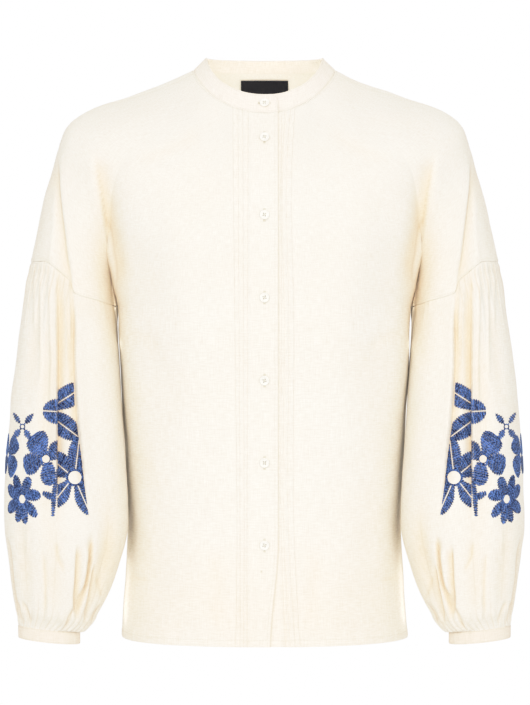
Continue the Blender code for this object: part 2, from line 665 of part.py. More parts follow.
def front_seat(height):
    """Where a button sits on the upper front: the point at the centre and the way it faces."""
    levels = np.linspace(0, 1, 401)
    level = float(np.interp(height, shoulder_point(levels, 0.0 * levels)[:, 2], levels))
    row = np.array(level if height > UNDERARM_Z else height)
    point = garment_point(row, np.array(0.0))
    facing = garment_normals(row, np.array(0.0))
    return point + BUTTON_SEAT * facing, facing


def collar_seat():
    """The same for the button on the collar band."""
    angle = np.array(2 * math.pi)
    point = band_point(angle, np.array(COLLAR_BUTTON_UP))
    facing = normals_of(lambda up, turn: band_point(turn, up), np.array(COLLAR_BUTTON_UP), angle, 0.05, 0.02)
    return point + BUTTON_SEAT * facing, facing


def main():
    for old in list(bpy.data.objects):
        bpy.data.objects.remove(old, do_unlink=True)
    linen = material("linen", LINEN, 0.85)
    band_linen = material("band_linen", BAND_LINEN, 0.85)
    shell = material("button_white", BUTTON_WHITE, 0.3)
    woven = material("label_black", LABEL_BLACK, 0.6)
    front_panel("front_right", -1, True, linen)
    front_panel("front_left", 1, False, linen)
    back_panel("back", linen)
    for word, side in (("right", -1), ("left", 1)):
        sleeve("sleeve_" + word, side, linen)
        cuff("cuff_" + word, side, band_linen)
    collar_band("collar_band", band_linen)
    neck_label("neck_label", woven)
    seats = [collar_seat()] + [front_seat(height) for height in FRONT_BUTTON_HEIGHTS]
    for number, (seat, facing) in enumerate(seats, start=1):
        button("button_" + str(number), seat, facing, shell)


main()
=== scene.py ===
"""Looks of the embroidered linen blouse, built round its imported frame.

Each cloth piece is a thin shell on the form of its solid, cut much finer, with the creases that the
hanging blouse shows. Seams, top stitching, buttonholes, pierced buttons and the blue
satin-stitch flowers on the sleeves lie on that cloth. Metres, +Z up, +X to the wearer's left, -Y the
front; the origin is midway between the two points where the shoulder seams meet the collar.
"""

import math

import bpy
import numpy as np
from mathutils import Matrix, Vector, kdtree


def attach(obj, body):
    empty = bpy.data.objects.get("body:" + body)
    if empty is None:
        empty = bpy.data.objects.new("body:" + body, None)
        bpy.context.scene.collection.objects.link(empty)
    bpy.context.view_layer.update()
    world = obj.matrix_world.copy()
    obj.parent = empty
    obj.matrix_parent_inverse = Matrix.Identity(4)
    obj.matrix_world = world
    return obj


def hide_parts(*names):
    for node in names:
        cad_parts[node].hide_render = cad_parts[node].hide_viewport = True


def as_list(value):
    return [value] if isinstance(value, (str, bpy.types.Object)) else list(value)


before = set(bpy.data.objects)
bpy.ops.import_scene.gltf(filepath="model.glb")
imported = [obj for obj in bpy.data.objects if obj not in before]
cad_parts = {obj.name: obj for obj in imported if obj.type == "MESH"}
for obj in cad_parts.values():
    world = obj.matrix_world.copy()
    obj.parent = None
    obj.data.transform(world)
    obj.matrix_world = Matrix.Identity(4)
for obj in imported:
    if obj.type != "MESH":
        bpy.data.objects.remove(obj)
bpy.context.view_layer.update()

# Camera, at the height and distance that the photograph was taken from
CAMERA_PLACE = (0.0006, -3.0, -0.3226)
CAMERA_LENS = 133.2
FLOOR_Z = -1.0
FLOOR_RADIUS = 1.8
AMBIENT = 0.66  # how bright the room is beside its white background
HIGH_KEY = ((0.25, 0.27), (0.50, 0.60), (0.71, 0.82), (0.82, 0.895), (0.91, 0.95))  # soft highlights

# Soft boxes: name, place, what each faces, width and power
SOFTBOXES = (
    ("key_light", (-1.2, -3.2, 0.9), (0.0, 0.0, -0.3), 1.8, 32.5),
    ("fill_light", (1.3, -3.2, 0.1), (0.0, 0.0, -0.35), 2.2, 26.0),
    ("top_light", (0.0, -0.8, 2.2), (0.0, 0.0, -0.1), 1.6, 4.5),
    ("back_light", (0.6, 3.4, 0.9), (0.0, 0.0, -0.3), 2.2, 46.0),
)

# Strips of light between body and sleeve on +X: name, place, height, lean, turn and power
STRIPS = (
    ("gap_light_low", (0.1672, -0.010, -0.360), 0.28, 0.0, 0.0, 0.006),
    ("gap_light_high", (0.1785, -0.014, -0.205), 0.14, 0.155, 0.0, 0.0022),
    ("side_light", (0.1690, -0.025, -0.470), 0.32, 0.0, math.pi / 2, 0.013),
)
STRIP_WIDTH = 0.008
INSIDE_LAMP = ((0.0, 0.0, -0.20), (0.90, 0.95, 1.0), 0.47, 0.04)  # place, colour, power and softness

# Cloth looks: colour, colour of the painted shade in hollows, thread width, slubs, strength of that painted
# shade and bump
CLOTH_LOOKS = {
    "linen": ((242, 238, 228), (241, 221, 194), 0.00055, 0.8, 0.6, 0.6),
    "band_linen": ((242, 235, 224), (240, 219, 194), 0.00055, 0.7, 0.4, 0.5),
    "woven_label": ((38, 38, 42), (20, 20, 24), 0.00032, 0.3, 0.5, 0.5),
}
# Painted shade: the colour painted along sharp folds, and how much of it a full fold line takes
FOLD_SHADE_COLOUR = (212, 190, 164)  # along sharp folds
FOLD_SHADE_SHARE = 0.42
GRAIN = -0.46  # how much darker the thicker threads of the linen are

# Thread looks: dark and light colour, roughness, bump and how strong its painted glints are
THREAD_LOOKS = {
    "thread_cream": ((214, 204, 182), (238, 230, 214), 0.6, 0.4, 0.3),
    "thread_blue": ((2, 20, 74), (106, 143, 206), 0.42, 0.5, 3.0),
}
TWIST = 0.0008  # length of one turn of the thread
SLUB_STRETCH = ((1150.0, 95.0, 1.0), (100.0, 1100.0, 1.0))  # noise per metre, across and along
SHELL_COLOURS = ((248, 245, 237), (237, 232, 220))

# Cloth
CLOTH = 0.0009
BAND_CLOTH = 0.0018
BAND_GAP = 0.0006
SEAM_GAP = 0.00015
SEAM_DIP = 0.00055  # how deep the cloth rolls into a seam
SEAM_ROLL = 0.0013  # and how far from it the roll begins
PUCKER = 0.00016
PUCKER_LENGTHS = (0.0105, 0.0163)
PUCKER_REACH = 0.005
RIPPLES = 18
RIPPLE = 0.0022  # height of a ripple as a share of its length
RIPPLE_LENGTHS = (0.022, 0.085)
HEM_DEPTH = 0.009
HEM_STEP = 0.00025
HEM_ROWS = (0.86, 1.0, 1.14)  # rows at the top of the turned-up hem, as shares of its depth

# Front overlap, measured from the centre front towards the panel's own side
OVERLAP = 0.0155
EDGE_SWING = 0.0085
SWING_HEIGHT = 0.115
# A line of painted shade beside each tuck and along the front's edge:
TUCK_SHADE_LINES = (0.6, 0.2)  # strength of the fold line beside a tuck and one column further on
EDGE_SHADE_LINE = 0.5  # and at the front's edge
LOW_EDGE_SHADE_LINE = 0.9  # and at that edge below LOW_EDGE
LOW_EDGE = -0.52
FLAT_FRONT = 0.030  # the cloth lies flat this near the button line
UNDER_FLAT = 0.0185
UNDER_EASE = 0.0320
PLACKET_STITCH = 0.0040
BAND_WIDE = 0.012  # how far the front's folded band, of doubled cloth, reaches
PLACKET_EDGE = (0.0, 0.0006, 0.0016, 0.0028, PLACKET_STITCH)  # the first columns of each front
BUTTONHOLE_HALF = 0.0072
BUTTONHOLE_STEP = 0.00038
BAR_TACK_Z = -0.5650
BAR_TACK = (-0.0046, -0.0034, -0.0022)  # where its stitches begin, pass and end

# Four pin tucks on each front: height, then how far each one is from the centre front
TUCKS_RIGHT = (
    (-0.649, 0.0184, 0.0222, 0.0262, 0.0309),
    (-0.560, 0.0186, 0.0218, 0.0262, 0.0298),
    (-0.300, 0.0178, 0.0224, 0.0272, 0.0318),
    (-0.035, 0.0175, 0.0236, 0.0290, 0.0350),
)
TUCKS_LEFT = (
    (-0.649, 0.0222, 0.0280, 0.0332, 0.0385),
    (-0.540, 0.0183, 0.0214, 0.0266, 0.0326),
    (-0.300, 0.0182, 0.0212, 0.0262, 0.0318),
    (-0.085, 0.0182, 0.0206, 0.0258, 0.0312),
    (-0.035, 0.0195, 0.0240, 0.0302, 0.0355),
)
TUCK_PROFILE = ((-0.0013, 0.0), (-0.0004, 0.00062), (0.0002, 0.00070), (0.0006, 0.00025), (0.0012, 0.0))

# Buttons
BUTTON_WIDTH = 0.011
BUTTON_THICK = 0.0022
BUTTON_SEAT = 0.0003
HOLE_RADIUS = 0.00072
HOLE_OUT = 0.0012375  # from the button's middle, in x and in y
HOLE_SIDES = 16
BUTTON_SIDES = 56
BUTTON_PROFILE = (
    (0.0, 0.0), (0.80, 0.0), (0.90, 0.06), (0.97, 0.22), (1.0, 0.45), (0.985, 0.70), (0.93, 0.92),
    (0.86, 1.0), (0.79, 0.96), (0.71, 0.80), (0.64, 0.70), (0.55, 0.66), (0.0, 0.64),
)
COLLAR_BUTTON_UP = 0.50
FRONT_BUTTON_HEIGHTS = [-0.0827] + [-0.1705 - 0.0915 * step for step in range(5)]

# Collar band
BAND_LEAN_SIDE = 0.0142
BAND_LEAN_FRONT = 0.0120
BAND_LEAN_BACK = 0.0120
BAND_RISE_SIDE = 0.0140
BAND_RISE_FRONT = 0.0215
BAND_RISE_BACK = 0.0135
BAND_CORNER = 0.0085

# Woven label inside the back neck
LABEL_WIDTH = 0.056
LABEL_HEIGHT = 0.022
LABEL_THICK = 0.0010
LABEL_TOP = 0.0065
LABEL_CLEAR = 0.0009
LABEL_DROP = 0.075  # a height divided by this is a level below the neck seam
LABEL_COLUMNS = 57
LABEL_ROWS = 23

# Body rings below the armholes, from the underarm down to the hem
UNDERARM_Z = -0.2700
HEM_Z = -0.6490
BODY_COLUMNS = ("height", "half_width", "front_depth", "back_depth", "side_y")
BODY_RINGS = (
    (-0.2700, 0.1680, 0.1270, 0.1020, 0.004),
    (-0.3000, 0.1674, 0.1275, 0.1010, 0.0062),
    (-0.3450, 0.1660, 0.1275, 0.0990, 0.0120),
    (-0.4000, 0.1638, 0.1270, 0.0970, 0.0175),
    (-0.4600, 0.1606, 0.1265, 0.0960, 0.019),
    (-0.5250, 0.1581, 0.1265, 0.0970, 0.018),
    (-0.5850, 0.1606, 0.1275, 0.0990, 0.016),
    (-0.6490, 0.1647, 0.1290, 0.1020, 0.015),
)

# Shoulder rings, from the ring that holds the armhole seams (level 0) up to the neck seam (level 1)
SHOULDER_COLUMNS = (
    "level", "ridge_x", "ridge_z", "ridge_y", "front_z", "front_depth",
    "back_z", "back_depth", "arm_depth", "armpit_x", "arm_share",
)
SHOULDER_RINGS = (
    (0.000, 0.2690, -0.2190, 0.004, -0.2700, 0.1270, -0.2700, 0.1020, 0.059, 0.1680, 1.00),
    (0.125, 0.2580, -0.1680, 0.002, -0.2270, 0.1235, -0.2050, 0.1030, 0.058, 0.1745, 0.74),
    (0.250, 0.2475, -0.1260, 0.000, -0.1940, 0.1200, -0.1560, 0.1020, 0.056, 0.1810, 0.46),
    (0.375, 0.2372, -0.0900, 0.000, -0.1640, 0.1155, -0.1120, 0.0990, 0.053, 0.1870, 0.22),
    (0.500, 0.2255, -0.0615, 0.000, -0.1380, 0.1100, -0.0760, 0.0945, 0.050, 0.1850, 0.08),
    (0.625, 0.2005, -0.0435, 0.000, -0.1150, 0.1040, -0.0470, 0.0880, 0.048, 0.1700, 0.00),
    (0.750, 0.1585, -0.0285, 0.000, -0.0910, 0.0960, -0.0240, 0.0790, 0.046, 0.1300, 0.00),
    (0.875, 0.1125, -0.0125, 0.000, -0.0700, 0.0865, -0.0060, 0.0700, 0.044, 0.1000, 0.00),
    (1.000, 0.0812, 0.0025, 0.000, -0.0535, 0.0780, 0.0050, 0.0620, 0.042, 0.0700, 0.00),
)
ROUNDNESS = 0.87
NECK_SWEEP = 1.3
SEAM_FLAT = 0.82
SEAM_CURVE = 1.55
SEAM_FORWARD = 0.17
SEAM_FORWARD_FROM = 0.60
SEAM_FORWARD_FULL = 0.86
CREASE_WIDTH = 0.0016
CREASE_SPAN = 0.01

# Sleeve sections below the armhole seam
SLEEVE_COLUMNS = ("height", "inner_x", "outer_x", "middle_y", "half_depth")
SLEEVE_SECTIONS = (
    (-0.2180, 0.1680, 0.2690, 0.004, 0.0590),
    (-0.2680, 0.1692, 0.2770, 0.000, 0.0600),
    (-0.3030, 0.1682, 0.2815, -0.007, 0.0610),
    (-0.3370, 0.1656, 0.2850, -0.015, 0.0625),
    (-0.3890, 0.1622, 0.2896, -0.026, 0.0650),
    (-0.4400, 0.1582, 0.2932, -0.036, 0.0670),
    (-0.4920, 0.1548, 0.2944, -0.044, 0.0675),
    (-0.5270, 0.1552, 0.2934, -0.048, 0.0655),
    (-0.5610, 0.1640, 0.2896, -0.051, 0.0595),
    (-0.5960, 0.1767, 0.2845, -0.054, 0.0500),
    (-0.6150, 0.1872, 0.2806, -0.056, 0.0420),
    (-0.6260, 0.1958, 0.2788, -0.057, 0.0350),
    (-0.6375, 0.2075, 0.2780, -0.057, 0.0290),
)
SEAM_BLEND = 0.06  # share of the sleeve over which its form leaves the armhole seam's
CUFF_BLEND_FROM = 0.955  # and where it begins to take the cuff's
CUFF_BLEND = 0.045
CUFF_MIDDLE = (0.2428, -0.057)
CUFF_HALF_WIDTH = 0.0350
CUFF_HALF_DEPTH = 0.0290
CUFF_OUTER_Z = -0.6292
CUFF_INNER_Z = -0.6365
CUFF_HEIGHT = 0.0142
CUFF_EDGE = (0.0005, 0.0009)  # depth and reach of the roll at the cuff's edges
CUFF_PUCKER = (0.00018, 23)  # depth and number of the puckers round the cuff
CUFF_CREASE = (0.0009, 66, 3.5)  # depth, place and width in degrees of the cuff's crease
# painted shade over the whole of each cuff, in its hollow and fold masks
CUFF_SHADE = 0.34  # how much deeper the cuffs' colour is than the collar band's
SLEEVE_INSET = 0.0004
SLEEVE_LENGTH = 0.40
POUCH = (0.0040, 0.0058)  # how far the sleeve hangs over the cuff on its inner side, in and down
POUCH_PLACE = (0.980, 0.022)  # share of the sleeve where it is fullest, and its reach

# Long sleeve folds: where each lies round the sleeve in degrees, from the inner side over the
# front, its share of the way down where it starts, is deepest and ends, and its depth and width
FOLD_COLUMNS = ("turn", "drift", "start", "middle", "end", "depth", "width")
SLEEVE_FOLDS = (
    (106.0, -4.0, 0.02, 0.40, 0.90, -0.0050, 10.0),
    (88.0, -26.0, 0.02, 0.45, 0.97, 0.0030, 10.0),
    (54.0, -16.0, 0.52, 0.84, 1.00, -0.0050, 10.0),
    (128.0, 2.0, 0.02, 0.20, 0.50, -0.0024, 9.0),
    (137.0, -8.0, 0.55, 0.84, 1.00, -0.0028, 10.0),
    (98.0, -4.0, 0.62, 0.86, 1.00, -0.0030, 10.0),
    (228.0, 6.0, 0.04, 0.45, 0.92, -0.0048, 12.0),
    (268.0, -10.0, 0.10, 0.60, 0.97, -0.0042, 12.0),
    (305.0, 6.0, 0.40, 0.80, 1.00, -0.0042, 12.0),
    (196.0, 4.0, 0.50, 0.80, 1.00, -0.0026, 10.0),
)

# a line of painted shade beside each gather: its half width, and the gather height that makes it full
GATHER_SHADE_WIDTH = 0.8  # half width in degrees of the crease beside a gather
FULL_GATHER_SHADE = 0.0020  # height of a gather whose crease is full
CUFF_GATHER_SPREAD = 0.9  # how much wider a gather is at its upper end
FOLD_SCALE = 0.8
# a line of painted shade along the lower folds: where they start, and the fold depth that makes it full
LOWER_FOLD = 0.3  # folds that start below this share have a crease of their own
FULL_LOWER_FOLD_SHADE = 0.005

# Gathers run down from the armhole seam and up from the cuff. Each is a ridge: where it lies round
# the sleeve in degrees, its length as a share of the sleeve, its height and its width in degrees.
HEAD_GATHERS = (
    (86, 0.05, 0.0006, 2.0), (93, 0.10, 0.0012, 2.4), (100, 0.22, 0.0018, 2.6), (107, 0.14, 0.0016, 2.2),
    (114, 0.30, 0.0020, 2.8), (122, 0.20, 0.0017, 2.6), (130, 0.26, 0.0020, 3.0), (139, 0.16, 0.0016, 2.8),
    (148, 0.30, 0.0020, 3.2), (158, 0.18, 0.0017, 3.0), (168, 0.24, 0.0018, 3.2), (178, 0.14, 0.0015, 2.8),
    (188, 0.22, 0.0018, 3.2), (199, 0.16, 0.0016, 3.0), (209, 0.30, 0.0020, 3.2), (219, 0.18, 0.0017, 2.8),
    (228, 0.24, 0.0018, 3.0), (237, 0.14, 0.0016, 2.6), (246, 0.26, 0.0018, 2.8), (255, 0.12, 0.0014, 2.4),
    (264, 0.18, 0.0013, 2.6), (274, 0.08, 0.0009, 2.2),
)
CUFF_GATHERS = (
    (14, 0.10, 0.0012, 4.0), (25, 0.16, 0.0018, 4.0), (35, 0.24, 0.0020, 4.2), (45, 0.13, 0.0016, 3.6),
    (54, 0.20, 0.0021, 3.8), (63, 0.10, 0.0018, 3.0), (71, 0.15, 0.0019, 3.2), (79, 0.08, 0.0015, 2.8),
    (88, 0.06, 0.0013, 2.6), (97, 0.12, 0.0016, 3.2), (107, 0.07, 0.0014, 2.8), (117, 0.15, 0.0016, 3.4),
    (127, 0.09, 0.0015, 3.0), (136, 0.06, 0.0013, 2.6), (145, 0.10, 0.0016, 3.2), (155, 0.07, 0.0014, 3.0),
    (166, 0.13, 0.0017, 3.6), (178, 0.09, 0.0015, 3.6), (190, 0.16, 0.0018, 3.8), (202, 0.10, 0.0016, 3.4),
    (213, 0.20, 0.0020, 4.0), (225, 0.12, 0.0016, 3.6), (236, 0.08, 0.0014, 3.2), (247, 0.18, 0.0019, 3.8),
    (259, 0.11, 0.0016, 3.4), (270, 0.07, 0.0014, 3.0), (281, 0.16, 0.0018, 3.8), (293, 0.10, 0.0016, 3.4),
    (305, 0.22, 0.0020, 4.0), (317, 0.12, 0.0016, 3.6), (329, 0.15, 0.0016, 3.8), (342, 0.09, 0.0012, 3.6),
)

# Creases listed for the front. Height in millimetres (below 0 a trough), width towards the
# centre or below, width away from the centre or above, then the line it follows as seen from the
# front: millimetres out from the centre and up from the collar points. Both sides have them.
FRONT_CREASES = (
    # the cloth beside the underarm, pressed together
    (1.3, 6.0, 6.0, ((177.5, -196), (174.6, -222), (171.4, -246), (169.2, -263))),
    # fold from the armpit to the armhole seam, where the upper arm's cloth hangs over the body's
    (-3.6, 13.0, 2.2, (
        (198, -88), (194, -104), (190, -128), (184, -160), (177, -195), (171, -230), (169, -262),
    )),
    (2.0, 3.0, 10.0, ((201, -84), (198, -110), (194, -138), (187, -172), (180, -205), (175, -240))),
    # fold down the outside of the upper arm, and the sleeve's long fold that goes on from it
    (-3.0, 1.8, 9.0, (
        (237, -92), (238, -116), (236, -146), (231, -182), (228, -208), (223, -244), (221, -268),
    )),
    (1.3, 8.0, 2.6, ((233, -100), (234, -120), (232, -150), (227, -186), (223, -214), (218, -244))),
    (0.9, 2.6, 2.6, ((241, -120), (243, -150), (243, -178), (246, -214), (247, -236))),
    # the sleeve's long overlapping fold and the edge on the other side of its hollow
    (-5.2, 7.5, 1.2, (
        (239, -216), (238.4, -262), (237.8, -320), (237.8, -378), (237.8, -435), (238, -496), (239, -530),
    )),
    (2.0, 1.4, 10.0, ((240, -224), (240, -262), (239.6, -320), (239.6, -378), (239.8, -435), (240, -500))),
    (-4.6, 1.3, 7.5, (
        (222, -236), (219, -280), (219, -330), (216, -395), (211, -440), (206, -480), (200, -520),
    )),
    (2.2, 9.0, 1.4, ((220, -246), (217, -290), (217, -335), (213.6, -395), (208.6, -440), (203.6, -480))),
    # fine folds between them
    (1.3, 1.8, 1.8, ((263, -220), (264, -262), (265, -300))),
    (1.5, 1.8, 2.0, ((257, -219), (257, -270), (258, -330), (260, -370))),
    (1.7, 2.0, 1.8, ((247, -222), (246, -280), (246, -340), (248, -400))),
    (1.3, 1.6, 1.6, ((231, -228), (229, -262), (228, -300), (228, -350))),
    (1.4, 1.6, 1.6, ((226, -234), (224, -270), (223, -318))),
    (0.8, 1.6, 2.0, ((192, -258), (190, -270), (188, -284))),
    (0.7, 1.6, 2.0, ((186, -260), (185, -274), (182, -292))),
    (0.6, 1.6, 1.8, ((176, -264), (175, -276), (174, -290))),
    # lower sleeve
    (-2.4, 1.6, 3.4, ((297, -530), (293, -553), (290, -586), (286, -612), (283, -632))),
    (1.0, 2.6, 1.8, ((273.5, -525), (274, -546), (275, -560))),
    (-1.9, 3.4, 1.6, ((256, -548), (254, -575), (252.6, -604), (253.6, -633))),
    (1.5, 3.0, 2.2, ((250.5, -590), (250, -612), (251, -634))),
    (-1.9, 3.0, 2.0, ((240.5, -540), (238.4, -558), (233.6, -568), (229, -578))),
    (-4.6, 5.5, 1.5, ((215, -540), (216.6, -585), (218, -600), (218, -614), (215.6, -632))),
    (-5.6, 1.5, 4.5, (
        (199.5, -528), (198, -544), (199, -564), (203, -589), (209.6, -607), (214, -619), (215, -634),
    )),
    (2.4, 3.0, 3.0, ((204, -545), (205, -566), (208, -586), (213, -604))),
    (-3.4, 3.0, 1.8, ((194.5, -563), (197, -584), (203, -613), (207, -628), (212, -637))),
    (-1.6, 3.0, 2.2, ((190, -580), (186, -607))),
    (-2.6, 2.0, 2.0, ((186, -610), (199, -628), (205, -640))),
    (-2.0, 1.6, 2.2, ((280, -608), (272.6, -622), (268, -635))),
    (-2.0, 1.6, 2.2, ((285, -608), (280, -628), (274, -636))),
    (-2.2, 1.8, 2.0, ((218, -616), (230, -633), (233.6, -638))),
    (1.0, 2.0, 2.0, ((238, -616), (236, -628), (235, -637))),
    # body: the soft hollow under the bust's side and the drag lines near the shoulder and side seam
    (-2.6, 26.0, 18.0, ((160, -176), (146, -215), (136, -265), (128, -330), (124, -400))),
    (1.4, 22.0, 20.0, ((100, -140), (98, -210), (92, -300), (90, -400), (96, -500))),
    (-0.8, 9.0, 7.0, ((72, -62), (90, -78), (118, -92), (150, -104))),
    (0.5, 6.0, 6.0, ((64, -84), (92, -104), (124, -118))),
    (-0.9, 5.0, 9.0, ((160, -298), (140, -306), (118, -322))),
    (-0.6, 4.0, 7.0, ((158, -440), (142, -446), (126, -458))),
    (-0.9, 2.4, 3.4, ((156, -578), (146, -582), (133, -583))),
    (0.6, 2.2, 2.2, ((152, -571), (142, -575), (133, -576))),
    (-1.0, 12.0, 16.0, ((112, -470), (118, -540), (124, -600), (128, -655))),
    (0.9, 12.0, 12.0, ((84, -520), (80, -580), (78, -655))),
    (-0.8, 10.0, 10.0, ((58, -540), (56, -600), (54, -655))),
)

# The same for the back, as seen from behind
BACK_CREASES = (
    (-3.9, 16.0, 6.0, ((196, -80), (188, -120), (178, -170), (170, -220), (167, -262))),
    (2.4, 4.0, 12.0, ((204, -90), (197, -130), (188, -180), (181, -230))),
    (-3.3, 3.0, 10.0, ((236, -96), (234, -140), (230, -186), (226, -236))),
    (-3.9, 9.0, 2.6, ((232, -230), (230, -290), (229, -360), (230, -430), (233, -500))),
    (2.4, 2.6, 9.0, ((236, -236), (235, -300), (234, -370), (236, -440))),
    (-3.3, 2.6, 8.0, ((206, -268), (203, -330), (201, -400), (197, -470))),
    (1.5, 3.0, 3.0, ((250, -240), (251, -300), (254, -360))),
    (1.5, 3.0, 3.0, ((219, -250), (217, -310), (216, -370))),
    (-3.9, 5.0, 3.0, ((222, -540), (221, -580), (220, -612), (219, -632))),
    (-3.6, 3.0, 5.0, ((250, -550), (252, -590), (254, -632))),
    (-3.6, 3.0, 4.0, ((196, -548), (199, -580), (205, -612), (211, -636))),
    (-2.4, 3.0, 3.0, ((274, -560), (272, -600), (268, -634))),
    (-4.2, 28.0, 22.0, ((150, -190), (138, -260), (128, -340), (124, -430))),
    (2.4, 22.0, 24.0, ((92, -120), (96, -220), (94, -330), (98, -440), (106, -540))),
    (-2.1, 18.0, 18.0, ((44, -240), (50, -330), (56, -430), (60, -540), (62, -655))),
    (-1.8, 12.0, 16.0, ((112, -470), (120, -560), (126, -655))),
    (-1.4, 6.0, 9.0, ((58, -18), (84, -40), (116, -60), (152, -78))),
    (-1.2, 5.0, 8.0, ((160, -300), (138, -312), (110, -330))),
)

# Where the seam slips past itself under the upper arm's fold: place, reach and how far, in millimetres
SLIP_PLACE = (221.5, -242.0)
SLIP_REACH = 15.0
SLIP_EDGE = 1.3
SLIP = 5.6

# Where the seam rides up over the inner arm: place, reach both ways and how far, in millimetres
LIFT_PLACE = (193.5, -264.0)
LIFT_REACH = (17.0, 45.0)
LIFT = 5.0

# What the creases do to the cloth's form, and the painted shade that darkens and warms its colour in their
# hollows and along sharp folds
FOLD_SHADE_WIDTH = 0.85  # half width of a sharp fold's darker line
HOLLOW_SHADE_FULL = 0.0045  # a trough as deep as this has the full warm tone
FULL_FOLD_SHADE = 3.5  # height in millimetres of a crease whose fold line is full
SHARP_CREASE = 2.5  # only a crease narrower than this in millimetres has a fold line
WIDE_CREASE = 14  # a crease wider than this doesn't deepen the colour
CREASE_REACH = 2.6  # widths beyond which a crease does nothing
CREASE_RISE = 0.22  # share of a crease's length over which it begins
CREASE_FALL = 0.26  # and over which it dies out

# Broad places where the light that the cloth throws on itself is warm: how much, where and how far
WARM_PLACES = (
    (0.25, 60.0, -620.0, 170.0, 80.0),
    (0.65, 175.0, -262.0, 13.0, 60.0),
    (0.35, 188.0, -190.0, 10.0, 60.0),
    (0.08, 166.0, -420.0, 8.0, 110.0),
    (0.40, 176.0, -560.0, 9.0, 45.0),
    (0.30, 228.0, -300.0, 9.0, 70.0),
)

# How finely the cloth is cut
PLACKET_COLUMNS = 14
SIDE_COLUMNS = 72
CAP_COLUMNS = 70
BACK_CAP_COLUMNS = 40
BACK_COLUMNS = 64
BODY_ROWS = 122
SHOULDER_ROWS = 96
SLEEVE_COLUMNS_ROUND = 236
SLEEVE_ROWS = 164
CUFF_COLUMNS = 200
CUFF_ROWS = 16
BAND_COLUMNS = 420
BAND_ROWS = 18


# Shape helpers
def ease(share):
    """0 before 0, 1 after 1 and a smooth rise between."""
    share = np.clip(share, 0.0, 1.0)
    return share * share * (3 - 2 * share)


def smooth_through(known_x, known_y, x):
    """A smooth curve through the known points, as a cubic between each two."""
    known_x, known_y = np.asarray(known_x, float), np.asarray(known_y, float)
    slopes = np.gradient(known_y, known_x)
    x = np.clip(np.asarray(x, float), known_x[0], known_x[-1])
    left = np.clip(np.searchsorted(known_x, x, side="right") - 1, 0, len(known_x) - 2)
    gap = known_x[left + 1] - known_x[left]
    s = (x - known_x[left]) / gap
    return (
        known_y[left] * (2 * s**3 - 3 * s**2 + 1)
        + slopes[left] * gap * (s**3 - 2 * s**2 + s)
        + known_y[left + 1] * (3 * s**2 - 2 * s**3)
        + slopes[left + 1] * gap * (s**3 - s**2)
    )


def reader(columns, rows):
    """A function that reads one named column of a table at any value of its first column."""
    data = np.array(sorted(rows), float)

    def read(name, at):
        return smooth_through(data[:, 0], data[:, columns.index(name)], at)

    return read


body = reader(BODY_COLUMNS, BODY_RINGS)
shoulder = reader(SHOULDER_COLUMNS, SHOULDER_RINGS)
sleeve_section = reader(SLEEVE_COLUMNS, SLEEVE_SECTIONS)


def signed_power(value, exponent):
    return np.sign(value) * np.abs(value) ** exponent


def unit(vectors):
    return vectors / np.maximum(np.linalg.norm(vectors, axis=-1, keepdims=True), 1e-12)


def mirrored(points):
    return points * np.array([-1.0, 1.0, 1.0])


def run_of(steps):
    """Distances from the start of a line, from the lengths of its steps."""
    return np.concatenate([[0], np.cumsum(steps)])


def step_lengths(line):
    return np.linalg.norm(np.diff(line, axis=0), axis=1)


def off_line(turn, line):
    """How far a turn is from a line round the sleeve, in radians either way."""
    return (turn - line + math.pi) % (2 * math.pi) - math.pi


def spread(count, fine):
    """Shares from 0 to 1 in even steps, with two finer steps at each end."""
    even = np.linspace(0, 1, count - 3)
    return np.sort(np.concatenate([even, [fine, 2.2 * fine, 1 - 2.2 * fine, 1 - fine]]))


# The blouse's own form, as its solids have it
def shoulder_quarter(level, t, side):
    """One quarter of a shoulder ring: t is 0 at the centre line, 1 at the armpit, 2 at the ridge."""
    depth = shoulder(side + "_depth", level)
    centre_z = shoulder(side + "_z", level)
    ridge_x, ridge_z = shoulder("ridge_x", level), shoulder("ridge_z", level)
    armpit_x, arm_share = shoulder("armpit_x", level), np.clip(shoulder("arm_share", level), 0, 1)
    on_body = np.abs(t) <= 1
    body_turn = np.clip(t, -1, 1) * math.pi / 2
    arm_turn = np.clip(np.abs(t) - 1, 0, 1) * math.pi
    across = (1 - np.cos(arm_turn)) / 2
    crease = CREASE_WIDTH * np.clip((np.abs(t) - 1) / CREASE_SPAN, 0, 1)
    apart_x = np.where(
        on_body,
        armpit_x * signed_power(np.sin(body_turn), ROUNDNESS),
        np.sign(t) * (armpit_x + crease + (ridge_x - armpit_x - crease) * across),
    )
    apart_depth = np.where(
        on_body,
        depth * np.abs(np.cos(body_turn)) ** ROUNDNESS,
        shoulder("arm_depth", level) * np.sin(arm_turn),
    )
    apart_rise = np.where(on_body, 0.0, ease((across / SEAM_FLAT) ** SEAM_CURVE))
    turn = np.clip(t, -2, 2) * math.pi / 4
    level_cos = np.clip(np.cos(turn), 0, 1)
    x = arm_share * apart_x + (1 - arm_share) * ridge_x * np.sin(turn)
    out = arm_share * apart_depth + (1 - arm_share) * depth * level_cos
    rise = arm_share * apart_rise + (1 - arm_share) * (1 - level_cos**NECK_SWEEP)
    return x, out, centre_z + (ridge_z - centre_z) * rise


def shoulder_point(level, around):
    """A point of a shoulder ring on the +X half: around is 0 at the centre front, 2 at the ridge and
    4 at the centre back."""
    level, around = np.broadcast_arrays(np.asarray(level, float), np.asarray(around, float))
    front = shoulder_quarter(level, around, "front")
    back = shoulder_quarter(level, 4 - around, "back")
    in_front = around <= 2
    x, out, z = (np.where(in_front, f, b) for f, b in zip(front, back))
    y = shoulder("ridge_y", level) + np.where(in_front, -out, out)
    return np.stack([x, y, z], axis=-1)


